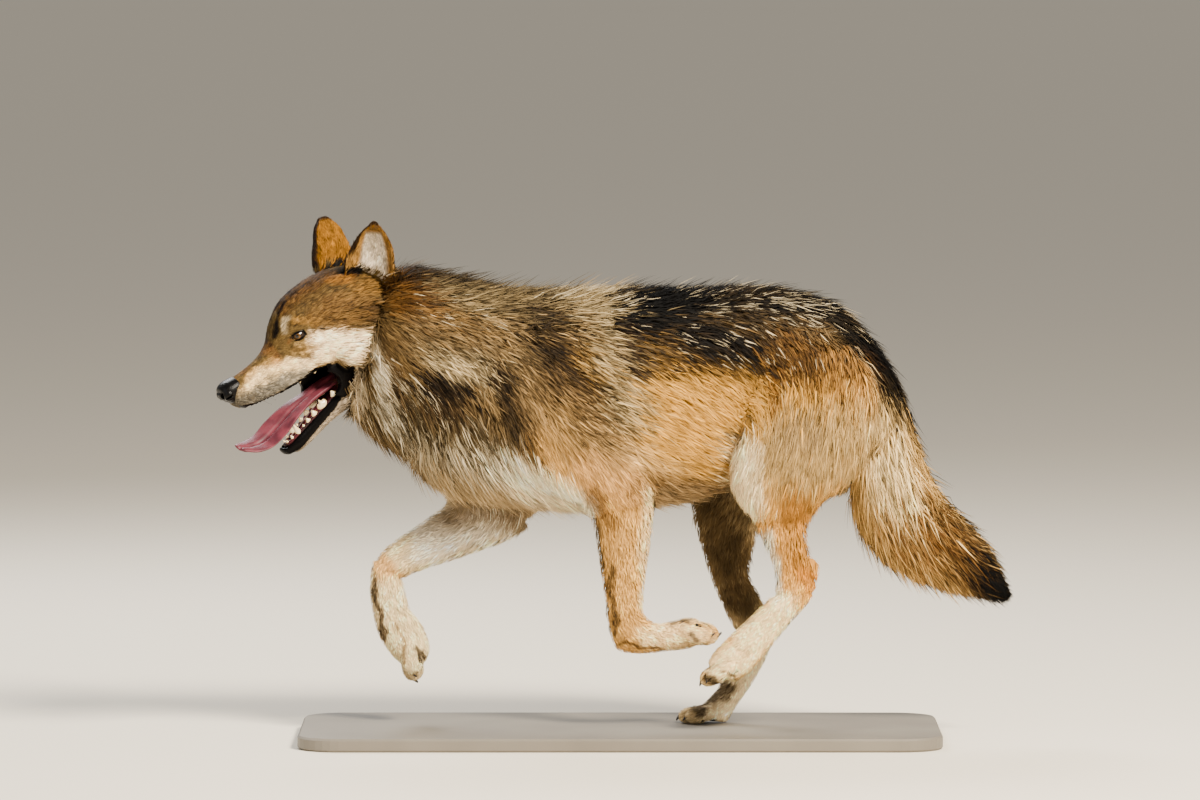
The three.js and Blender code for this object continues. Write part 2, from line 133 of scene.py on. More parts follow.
def search_tree(points):
    """A tree that finds the nearest of many points."""
    tree = KDTree(len(points))
    for i, point in enumerate(points.tolist()):
        tree.insert(point, i)
    tree.balance()
    return tree


def neighbour_mean(values, pairs):
    """The mean of each vertex's neighbours, for one or more numbers a vertex."""
    count = len(values)
    degree = np.maximum(np.bincount(pairs.ravel(), minlength=count), 1)
    total = np.empty_like(values)
    for column in range(values.shape[1]):
        v = values[:, column]
        total[:, column] = np.bincount(pairs[:, 0], v[pairs[:, 1]], count) + np.bincount(
            pairs[:, 1], v[pairs[:, 0]], count
        )
    return total / degree[:, None]


def relaxed(values, pairs, passes, strength=0.6):
    """Values spread evenly over a surface, a little more with each pass."""
    for _ in range(passes):
        values = values + strength * (neighbour_mean(values, pairs) - values)
    return values


def faired(points, pairs, passes, share=1):
    """Smooths a surface without shrinking it: each pass in is followed by a slightly larger pass out."""
    for _ in range(passes):
        for strength in (0.5, -0.53):
            points = points + share * strength * (neighbour_mean(points, pairs) - points)
    return points


def spline(table, steps):
    """Points along a smooth curve through the rows of a table, with `steps` between each two rows."""
    table = np.asarray(table, float)
    padded = np.vstack([2 * table[0] - table[1], table, 2 * table[-1] - table[-2]])
    rows = []
    for i in range(len(table) - 1):
        a, b, c, d = padded[i : i + 4]
        square, cube = 2 * a - 5 * b + 4 * c - d, 3 * b - a - 3 * c + d
        for t in np.arange(steps) / steps:
            rows.append(0.5 * (2 * b + (c - a) * t + square * t**2 + cube * t**3))
    return np.array(rows + [table[-1]])


def primitive(kind, name="form", **settings):
    """A new mesh primitive with nothing else selected, and its points at the size it is added."""
    bpy.ops.object.select_all(action="DESELECT")
    getattr(bpy.ops.mesh, f"primitive_{kind}_add")(**settings)
    obj = bpy.context.active_object
    obj.name = name
    return obj, coords(obj.data) * MM


def sphere(name, segments, rings):
    """A ball primitive of radius 1: the object, its points, each point's ring from the top and its angle."""
    obj, p = primitive("uv_sphere", name, segments=segments, ring_count=rings, radius=1)
    ring = np.rint(np.arccos(np.clip(p[:, 2], -1, 1)) * rings / pi).astype(int)
    return obj, p, ring, np.arctan2(p[:, 1], p[:, 0])


def tube(name, rows, sides=32, steps=4, square=1.0, caps=(8, 8), place=Matrix()):
    """A closed tube: a ball primitive whose rings are moved onto sections. Each row gives the two points
    where a section meets the side outline, how far its centre lies to the side, and its half width.
    `square` under 1 squares the sections, and `caps` are the lengths of the rounded ends."""
    sections = spline(rows, steps)
    first, second = sections[:, [0, 4, 1]], sections[:, [2, 4, 3]]
    middle, reach, width = (first + second) / 2, (first - second) / 2, sections[:, 5]
    rings = [(middle[i], reach[i], width[i]) for i in range(len(sections))]
    for end, inner, cap in ((0, 1, caps[0]), (-1, -2, caps[1])):
        way = unit(middle[end] - middle[inner])
        for a in map(radians, (22, 45, 68, 90)):  # rings of the rounded end, out to its pole
            ring = (middle[end] + way * cap * sin(a), reach[end] * cos(a), width[end] * cos(a))
            rings.insert(0 if end == 0 else len(rings), ring)
    last = len(rings) - 1
    obj, _, number, angle = sphere(name, sides, last)
    on_pole = (number == 0) | (number == last)
    across = np.sign(np.cos(angle)) * np.abs(np.cos(angle)) ** square
    up = np.sign(np.sin(angle)) * np.abs(np.sin(angle)) ** square
    across[on_pole] = 0
    up[on_pole] = 0
    centre, half, wide = (np.array([ring[i] for ring in rings])[number] for i in range(3))
    points = centre + half * up[:, None]
    points[:, 1] += wide * across
    set_coords(obj.data, moved(points, place))
    face_out(obj)
    return obj


def face_out(obj):
    """Turns a closed mesh's faces outwards if they point inwards."""
    work = bmesh.new()
    work.from_mesh(obj.data)
    if work.calc_volume(signed=True) < 0:
        bmesh.ops.reverse_faces(work, faces=work.faces)
        work.to_mesh(obj.data)
    work.free()
    obj.data.update()


def ball(name, centre, radii, place=Matrix(), tilt=0):
    """A ball primitive stretched to three radii, tilted about Y, in a piece's own frame."""
    obj, p, _, _ = sphere(name, 24, 16)
    local = shift(*centre) @ turn("Y", tilt) @ Matrix.Diagonal((*radii, 1))
    set_coords(obj.data, moved(p, place @ local))
    return obj


def join(name, objects):
    """Makes several meshes one object."""
    bpy.ops.object.select_all(action="DESELECT")
    for obj in objects:
        obj.select_set(True)
    bpy.context.view_layer.objects.active = objects[0]
    if len(objects) > 1:
        bpy.ops.object.join()
    objects[0].name = name
    return objects[0]


def apply_modifier(obj, kind, **settings):
    """Adds a modifier with its settings and applies it."""
    only(obj)
    modifier = obj.modifiers.new(kind.title(), kind)
    for key, value in settings.items():
        setattr(modifier, key, value)
    bpy.ops.object.modifier_apply(modifier=modifier.name)


def boolean(target, others, operation):
    """Adds other closed meshes to one, or cuts them from it, and removes them."""
    for other in others:
        apply_modifier(target, "BOOLEAN", object=other, operation=operation, solver="MANIFOLD")
        bpy.data.objects.remove(other)
    return target


def remesh(obj, voxel):
    """Turns overlapping closed meshes into one even surface."""
    apply_modifier(obj, "REMESH", mode="VOXEL", voxel_size=voxel * MM)


# ---- Materials ----


def linear(hex_colour):
    """An sRGB hex colour as linear red, green and blue."""
    values = [int(hex_colour[i : i + 2], 16) / 255 for i in (1, 3, 5)]
    return [v / 12.92 if v <= 0.04045 else ((v + 0.055) / 1.055) ** 2.4 for v in values]


def rgba(hex_colour):
    """An sRGB hex colour as linear red, green and blue, with alpha."""
    return (*linear(hex_colour), 1)


def new_material(name, sockets):
    """A material and its shader, with constants on the shader's own sockets."""
    material = bpy.data.materials.new(name)
    material.use_nodes = True
    shader = material.node_tree.nodes["Principled BSDF"]
    for key, value in sockets.items():
        shader.inputs[key].default_value = value
    return material, shader


def add_node(material, kind, links=(), inputs=(), feeds=(), stops=(), **settings):
    """Adds a node: settings are its properties, inputs its sockets' values and stops a ramp's places and
    colours. Links are (other node, its output, this node's input), and feeds are (this node's output,
    other node, its input)."""
    made = material.node_tree.nodes.new(kind)
    for key, value in settings.items():
        setattr(made, key, value)
    for key, value in dict(inputs).items():
        made.inputs[key].default_value = value
    for number, (place, colour) in enumerate(stops):
        elements = made.color_ramp.elements
        stop = elements[number] if number < 2 else elements.new(place)
        stop.position, stop.color = place, rgba(colour)
    for source, output, target in links:
        material.node_tree.links.new(source.outputs[output], made.inputs[target])
    for output, target, socket in feeds:
        material.node_tree.links.new(made.outputs[output], target.inputs[socket])
    return made


NOISE = ("ShaderNodeTexNoise", "Fac")
CELLS = ("ShaderNodeTexVoronoi", "Distance")


def patterned(name, sockets, pattern, stops, relief=None, invert=False):
    """A finish whose colour follows a pattern: a texture node, its output and its inputs. The relief is
    another pattern with a strength and a depth in metres."""
    material, shader = new_material(name, sockets)
    place = add_node(material, "ShaderNodeTexCoord")
    kind, output, inputs = pattern
    colours = add_node(material, kind, [(place, "Object", "Vector")], inputs)
    add_node(
        material,
        "ShaderNodeValToRGB",
        [(colours, output, "Fac")],
        feeds=[("Color", shader, "Base Color")],
        stops=stops,
    )
    if relief:
        kind, output, inputs, strength, depth = relief
        heights = add_node(material, kind, [(place, "Object", "Vector")], inputs)
        add_node(
            material,
            "ShaderNodeBump",
            [(heights, output, "Height")],
            {"Strength": strength, "Distance": depth},
            feeds=[("Normal", shader, "Normal")],
            invert=invert,
        )
    return material


def finish_piece(obj, material, replaces=()):
    """Gives a piece its material and body, and hides the solids it stands for."""
    obj.data.materials.clear()
    obj.data.materials.append(material)
    obj.data.polygons.foreach_set("use_smooth", np.ones(len(obj.data.polygons), bool))
    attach(obj, BODY)
    if replaces:
        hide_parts(*replaces)


# ---- Skin ----

FLESH = ["trunk", "neck", "tail", "head", "lower_jaw", "ear_left", "ear_right"] + [
    f"{leg}_{side}_{part}"
    for leg in ("foreleg", "hindleg")
    for side in ("left", "right")
    for part in ("upper", "lower", "paw")
]

# The head without its coat, in its own frame: [x, z] of the top and of the underside, side, half width.
HEAD_ROWS = [
    [-179, 13, -175, -24, 0, 19],
    [-165, 16.5, -161, -34, 0, 23.5],
    [-136, 22, -134, -41, 0, 26],
    [-110, 31, -107, -43, 0, 28.5],
    [-91, 45, -84, -43, 0, 31],
    [-73, 70, -61, -40, 0, 36],
    [-45, 92, -37, -34, 0, 46],
    [-4, 102, 0, -32, 0, 58],
    [37, 103, 37, -44, 0, 65],
    [71, 94, 69, -48, 0, 60],
    [103, 70, 97, -38, 0, 42],
]
PALATE_ROWS = [
    [-161, -12, -161, -60, 0, 15],
    [-134, -11, -132, -60, 0, 21],
    [-105, -11, -103, -60, 0, 23],
    [-73, -10, -69, -60, 0, 26],
    [-38, -10, -36, -60, 0, 34],
    [-6, -17, -4, -60, 0, 38],
]
JAW_ROWS = [
    [-10, 26, -14, -18, 0, 38],
    [-40, 24, -42, -19, 0, 37],
    [-63, 24, -63, -17, 0, 33],
    [-100, 22, -100, -10, 0, 26],
    [-136, 20, -136, -8, 0, 21.5],
    [-170, 19, -170, -6, 0, 18.5],
    [-190, 18, -188, 1, 0, 13.5],
]
TROUGH_ROWS = [
    [-30, 50, -30, 8, 0, 31],
    [-84, 50, -84, 8, 0, 25.5],
    [-126, 50, -126, 8, 0, 20],
    [-168, 50, -168, 8, 0, 15.5],
    [-188, 50, -188, 9, 0, 12],
]
EAR_ROWS = [
    [-37, -26, 34, -26, 0, 24],
    [-38, 4, 37, 4, 0, 24],
    [-36, 32, 36, 30, 0, 21],
    [-26, 58, 31, 57, 0, 17],
]
EAR_TIPS = {
    "ear_left": [[-15, 79, 20, 79, 0, 11], [-3, 92, 8.5, 93, 0, 5.5]],
    "ear_right": [[-19, 79, 25, 79, 0, 13], [-9, 92, 13, 93, 0, 7.5]],
}
EAR_WALL = 3.4
LID_TURN, GAZE = 60, 52  # degrees from straight ahead


def ear_skin(name):
    """The ear's cup: a tall cone, hollowed and cut open in front."""
    place = ear_place(name)
    rows = EAR_ROWS + EAR_TIPS[f"ear_{name}"]
    outer = tube(f"ear_{name}_outer", rows, 32, 4, caps=(4, 5), place=place)
    inner_rows = [[a + EAR_WALL, b, c - EAR_WALL, d, y, w - EAR_WALL] for a, b, c, d, y, w in rows[:-1]]
    inner = tube("ear_hollow", inner_rows, 32, 4, caps=(30, 6), place=place)
    front, corners = primitive("cube", size=1)
    box = shift(0, -50, 52) @ Matrix.Diagonal((200, 100, 152, 1))
    set_coords(front.data, moved(corners, place @ box))
    if place.determinant() < 0:
        face_out(front)
    return boolean(outer, [inner, front], "DIFFERENCE")


def head_skin(voxel):
    """The bare head: skull, brows, cheeks, lips, jaw and ears made one surface."""
    skull = tube("skull", HEAD_ROWS, 48, 5, square=0.9, caps=(6, 20), place=HEAD)
    lumps = []
    for side in (-1, 1):
        for centre, radii, tilt in (
            ((-43, side * 29, 56), (22, 11, 8), 20),  # brow
            ((-30, side * 37, 23), (44, 12, 11), 10),  # cheekbone
            ((-31, side * 39, 45), (20, 9, 14), 0),  # outer rim of the eye's socket
            ((24, side * 44, -10), (38, 22, 34), 0),  # jaw muscle
            ((-148, side * 13, -10), (30, 11.5, 15), 4),  # whisker pad
            ((22, side * 26, 78), (42, 22, 22), 0),  # temple muscle
        ):
            lumps.append(ball("lump", centre, radii, HEAD, tilt))
    boolean(skull, lumps, "UNION")
    palate = tube("palate", PALATE_ROWS, 24, 4, square=0.7, caps=(4, 4), place=HEAD)
    room = [EYE["radius"] + 0.6] * 3
    sockets = [ball("socket", (EYE["x"], side * EYE["y"], EYE["z"]), room, HEAD) for side in (-1, 1)]
    boolean(skull, [palate] + sockets, "DIFFERENCE")
    jaw = tube("jaw", JAW_ROWS, 40, 5, square=0.85, caps=(8, 7), place=JAW)
    trough = tube("trough", TROUGH_ROWS, 24, 4, square=0.7, caps=(4, 3), place=JAW)
    boolean(jaw, [trough], "DIFFERENCE")
    corners = []
    for y, x, reach, gape in ((-35, -13, 25, -43), (35, -24, 38, -76)):
        corners.append(ball("mouth_corner", (x, y, -44), (reach, 6.5, 31), HEAD, 10))
        boolean(corners[-1], [ball("gape", (gape, y, -44), (25, 16, 19), HEAD, 10)], "DIFFERENCE")
    head = join("head_skin", [skull, jaw, *corners, ear_skin("left"), ear_skin("right")])
    remesh(head, voxel)
    pairs = edges(head.data)
    points = coords(head.data)
    inside = moved(points, HEAD.inverted())
    # The ears are smoothed less, and skull and jaw hinge more, than the lips.
    cup = np.clip(np.maximum(inside[:, 2] - 104, np.abs(inside[:, 1]) - 70) / 12, 0, 1)
    skull = np.clip((inside[:, 2] + 14) / 10, 0, 1) * (1 - cup)
    hinge = 1.7 - ((inside[:, 0] + 16) / 34) ** 2 - ((inside[:, 2] + 44) / 34) ** 2
    skull = np.maximum(skull, np.clip(hinge, 0, 1) * (np.abs(inside[:, 1]) > 27))
    points = faired(points, pairs, 8, 1 - 0.7 * cup[:, None])
    set_coords(head.data, faired(points, pairs, 45, skull[:, None]))
    return head


def eye_frame(side, forward):
    """A frame at the eye's centre: +X looks out, `forward` degrees from straight ahead, +Z is up."""
    a = radians(forward)
    out = Vector((-cos(a), side * sin(a), 0.1)).normalized()
    up = (Vector((-0.1, 0, 1)) - out * (Vector((-0.1, 0, 1)) @ out)).normalized()
    turned = Matrix((out, up.cross(out), up)).transposed().to_4x4()
    return HEAD @ shift(EYE["x"], side * EYE["y"], EYE["z"]) @ turned


def eye_opening(angle, side):
    """The edge of the eye's opening, as (across, up): a slanted almond, drawn out towards the nose."""
    across = np.cos(angle) * side
    lean = np.where(across > 0, 13.6, 13.0)  # towards the nose and away from it
    wide = np.sign(across) * np.abs(across) ** 0.9 * lean
    lift = np.where(np.sin(angle) > 0, 3.6, 4.4)
    up = np.sin(angle) * np.abs(np.sin(angle)) ** 0.4 * lift
    duct = np.clip((wide - 8) / 4.8, 0, 1)
    return wide * side, up - 1.6 * duct - 0.07 * wide


def lids(side):
    """Both lids in one: a shell round the eyeball with a rolled edge at the almond-shaped opening."""
    obj, t = primitive("torus", major_segments=96, minor_segments=22, major_radius=1, minor_radius=0.25)
    angle = np.arctan2(t[:, 1], t[:, 0])
    ring = np.arctan2(t[:, 2], np.hypot(t[:, 0], t[:, 1]) - 1)
    share = (1 + np.cos(ring)) / 2  # 0 at the opening's edge, 1 where the lids sink into the face
    across, up = eye_opening(angle, side)
    near = np.hypot(across, up)
    turn_start, turn_end = np.arctan2(up, across), angle
    gap = np.mod(turn_end - turn_start + pi, 2 * pi) - pi
    about = turn_start + share * gap
    radius = EYE["radius"] + 1.35 + np.sign(np.sin(ring)) * np.abs(np.sin(ring)) ** 0.7 * 1.0
    crease = np.exp(-(((share - 0.42) / 0.1) ** 2)) * (np.sin(ring) > 0) * (np.sin(angle) > -0.2)
    radius += 0.5 * share * (np.sin(ring) > 0) - 0.7 * crease
    polar = np.arcsin(np.clip(near / radius, 0, 0.98)) * (1 - share) + radians(84) * share
    aside = radius * np.sin(polar)
    p = np.column_stack([radius * np.cos(polar), aside * np.cos(about), aside * np.sin(about)])
    set_coords(obj.data, moved(p, eye_frame(side, LID_TURN)))
    face_out(obj)
    return obj


# Stations of the coat: place, the way the hair lies, its length, the coat's depth over the skin and the
# width of a tuft. Places are in the part's own frame, with y counted outwards from the middle plane.
HEAD_STATIONS = [
    [-188, 8, 6, 1, 0.2, 0.2, 4, 0.5, 0.9],
    [-150, 24, -8, 1, 0, -0.12, 6, 0.8, 1],
    [-135, 0, 20, 1, 0.1, 0.2, 7, 0.9, 1],
    [-110, 26, -8, 1, 0.05, -0.12, 8, 1, 1.1],
    [-86, 30, 6, 1, 0.2, -0.1, 8, 1.2, 1.2],
    [-76, 0, 56, 0.7, 0.15, 0.7, 8, 1.6, 1.2],
    [-52, 24, 62, 0.8, 0.5, 0.4, 9, 2, 1.2],
    [-62, 34, 30, 0.9, 0.3, -0.2, 5, 0.8, 0.9],
    [-44, 40, 18, 1, 0.2, -0.3, 10, 1.6, 1.3],
    [-40, 36, -22, 1, 0.1, -0.2, 10, 1.5, 1.4],
    [-10, 0, 98, 1, 0.1, 0.3, 13, 3.2, 1.6],
    [0, 52, 0, 1, 0.2, -0.3, 18, 4, 1.8],
    [22, 45, 72, 1, 0.2, 0, 17, 4, 1.8],
    [45, 70, -12, 0.9, 0.3, -0.5, 40, 14, 2.4],
    [40, 30, -46, 0.8, 0.2, -0.6, 30, 9, 2.4],
    [55, 0, 104, 1, 0.1, 0, 22, 6, 2],
    [52, 58, 36, 1, 0.15, -0.15, 31, 9, 2.2],
    [92, 52, 40, 1, 0.1, -0.25, 46, 15, 2.5],
    [62, 0, -50, 0.8, 0, -0.6, 42, 13, 2.7],
]
JAW_STATIONS = [
    [-186, 8, -2, 1, 0.1, -0.2, 4, 1.2, 0.8],
    [-140, 14, -8, 1, 0.1, -0.2, 7, 2, 1],
    [-80, 20, -14, 1, 0.1, -0.2, 13, 4, 1.3],
    [-30, 30, -18, 1, 0.1, -0.3, 27, 8, 1.9],
]
EAR_STATIONS = [
    [0, 24, 5, 0, 0.1, 1, 14, 3.6, 1.5],
    [0, 20, 50, 0, 0, 1, 10, 2.8, 1.2],
    [0, 6, 92, 0, 0, 1, 7, 2.1, 1],
    [-34, 0, 20, -0.15, -0.2, 1, 12, 2.4, 1.2],
    [32, 0, 20, 0.15, -0.2, 1, 12, 2.4, 1.2],
]
NECK_STATIONS = [
    [-345, 0, 700, 1, 0, 0.12, 42, 19.2, 2.5],
    [-235, 0, 694, 1, 0, 0.02, 50, 22.2, 2.7],
    [-300, 88, 610, 0.85, 0.1, -0.45, 42, 18.5, 2.5],
    [-372, 58, 570, 0.7, 0.3, -0.7, 31, 14.8, 2.3],
    [-390, 0, 500, 0.4, 0, -0.9, 38, 16.3, 2.5],
    [-330, 50, 470, 0.5, 0.1, -0.85, 44, 18.5, 2.6],
    [-320, 0, 430, 0.5, 0, -0.85, 45, 18.5, 2.7],
]
TRUNK_STATIONS = [
    [-200, 0, 688, 1, 0, 0.02, 56, 24.6, 2.8],
    [-60, 0, 686, 1, 0, -0.02, 46, 20.5, 2.7],
    [100, 0, 686, 1, 0, -0.03, 43, 18, 2.7],
    [270, 0, 678, 0.95, 0.1, -0.3, 40, 16.4, 2.6],
    [375, 0, 600, 0.6, 0, -0.8, 41, 15.6, 2.6],
    [-185, 75, 620, 0.85, 0.1, -0.45, 46, 18.9, 2.7],
    [-150, 105, 520, 0.6, 0, -0.8, 36, 13.9, 2.6],
    [-20, 112, 560, 0.9, 0, -0.4, 41, 15.6, 2.6],
    [-20, 110, 440, 0.9, 0, -0.35, 38, 13.9, 2.6],
    [130, 100, 560, 0.85, 0, -0.5, 40, 15.6, 2.6],
    [130, 95, 430, 0.9, 0, -0.3, 36, 13.1, 2.6],
    [275, 88, 600, 0.5, 0.1, -0.85, 32, 12.3, 2.5],
    [-280, 0, 480, 0.25, 0, -1, 49, 18.9, 2.7],
    [-245, 0, 392, 0.7, 0, -0.7, 49, 17.2, 2.7],
    [-120, 0, 352, 1, 0, -0.2, 40, 13.1, 2.6],
    [40, 0, 346, 1, 0, -0.1, 33, 11.5, 2.6],
    [170, 0, 386, 1, 0, 0.15, 29, 10.7, 2.5],
    [385, 40, 480, 0.1, 0, -1, 33, 12.3, 2.6],
]
# Chains down the middle of the tail and legs: place, then length, depth and width as above. The hair
# lies along the chain.
TAIL_CHAIN = [
    [361, 0, 548, 46, 15.3, 2.5],
    [388, 0, 484, 49, 17.1, 2.5],
    [396, 0, 421, 53, 19.8, 2.5],
    [412, 0, 364, 54, 20.7, 2.6],
    [446, 0, 315, 56, 18.9, 2.6],
    [492, 0, 282, 53, 15.3, 2.5],
    [532, 0, 254, 44, 9.9, 2.4],
    [560, 0, 233, 34, 5.4, 2],
    [584, 0, 212, 26, 2.7, 1.7],
]
LEG_CHAINS = {
    "foreleg_left": [
        [-120, -84, 608, 46, 15, 2.8],
        [-112, -88, 533, 42, 13, 2.7],
        [-82, -86, 461, 36, 11, 2.5],
        [-34, -80, 409, 28, 8.5, 2.2],
        [0, -72, 350, 20, 6, 1.9],
        [5, -65, 290, 16, 5, 1.7],
        [6, -58, 220, 13, 4, 1.5],
        [10, -55, 178, 11, 3.5, 1.4],
        [45, -49, 158, 9, 2.8, 1.3],
        [98, -42, 160, 7, 2.3, 1.1],
        [135, -41, 156, 6, 2, 1],
    ],
    "foreleg_right": [
        [-156, 78, 520, 46, 14, 2.8],
        [-165, 82, 441, 38, 12, 2.6],
        [-181, 76, 368, 30, 9, 2.3],
        [-215, 70, 322, 20, 6, 1.9],
        [-262, 62, 299, 16, 5, 1.7],
        [-315, 53, 274, 13, 4, 1.5],
        [-347, 50, 255, 11, 3.5, 1.4],
        [-350, 48, 215, 9, 3, 1.3],
        [-333, 45, 162, 8, 2.5, 1.2],
        [-308, 44, 88, 6, 2, 1],
    ],
    "hindleg_left": [
        [300, -66, 605, 44, 15, 2.8],
        [294, -77, 533, 42, 13, 2.7],
        [272, -81, 450, 38, 12, 2.6],
        [250, -78, 385, 32, 10, 2.4],
        [244, -73, 322, 22, 7, 2],
        [258, -68, 270, 16, 5, 1.7],
        [262, -68, 230, 12, 3.6, 1.4],
        [221, -74, 182, 10, 3, 1.3],
        [178, -82, 136, 8, 2.5, 1.2],
        [130, -86, 98, 6, 2, 1],
    ],
    "hindleg_right": [
        [300, 66, 605, 44, 15, 2.8],
        [280, 77, 526, 42, 13, 2.7],
        [248, 81, 450, 38, 12, 2.6],
        [224, 79, 380, 32, 10, 2.4],
        [180, 75, 326, 22, 7, 2],
        [165, 67, 275, 16, 5, 1.7],
        [178, 58, 215, 13, 4, 1.5],
        [202, 53, 168, 11, 3.4, 1.4],
        [192, 47, 111, 9, 3, 1.3],
        [165, 43, 62, 8, 2.5, 1.2],
        [112, 40, 34, 6, 2, 1],
    ],
}
MIRRORED = {"head": HEAD_STATIONS, "lower_jaw": JAW_STATIONS, "neck": NECK_STATIONS, "trunk": TRUNK_STATIONS}
FRAMES = {"head": HEAD, "lower_jaw": JAW, "ear_left": ear_place("left"), "ear_right": ear_place("right")}


def weighted(points, places, values):
    """Values at points, from stations, each weighing less the farther it is."""
    total = np.zeros((len(points), 1))
    blend = np.zeros((len(points), values.shape[1]))
    for place, value in zip(places, values):
        weight = 1 / (np.sum((points - place) ** 2, axis=1, keepdims=True) + 25) ** 2
        total += weight
        blend += weight * value
    return blend / total


def nearest_parts(points):
    """The flesh node that each point is nearest to, as an index into FLESH."""
    corners, faces, owners = [], [], []
    for number, name in enumerate(FLESH):
        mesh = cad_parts[name].data
        mesh.calc_loop_triangles()
        start = len(corners)
        corners.extend(v.co / MM for v in mesh.vertices)
        for triangle in mesh.loop_triangles:
            faces.append([start + v for v in triangle.vertices])
            owners.append(number)
    tree = BVHTree.FromPolygons(corners, faces)
    return np.array([owners[tree.find_nearest(p)[2]] for p in points.tolist()])


def local(points, part):
    """World points in the frame of the head, jaw or an ear."""
    return moved(points, FRAMES[part].inverted())


def coat_fields(points, parts):
    """Flow, length, depth and width of the coat at points, before they are smoothed over the skin."""
    fields = np.zeros((len(points), 6))
    for number, name in enumerate(FLESH):
        chosen = parts == number
        if not chosen.any():
            continue
        here = points[chosen]
        limb = name.rsplit("_", 1)[0]
        if name in MIRRORED or name.startswith("ear"):
            table = np.array(MIRRORED.get(name, EAR_STATIONS), float)
            inside = local(here, name) if name in FRAMES else here
            side = np.where(inside[:, 1] < 0, -1.0, 1.0)
            if name in MIRRORED:
                inside = inside * [1, 0, 1] + np.abs(inside) * [0, 1, 0]
            value = weighted(inside, table[:, :3], table[:, 3:])
            if name in MIRRORED:
                value[:, 1] *= side
            if name in FRAMES:
                value[:, :3] = value[:, :3] @ np.array(FRAMES[name])[:3, :3].T
        else:
            table = np.array(LEG_CHAINS.get(limb, TAIL_CHAIN), float)
            along = np.gradient(table[:, :3], axis=0)
            value = weighted(here, table[:, :3], np.hstack([unit(along), table[:, 3:]]))
        fields[chosen] = value
    return fields


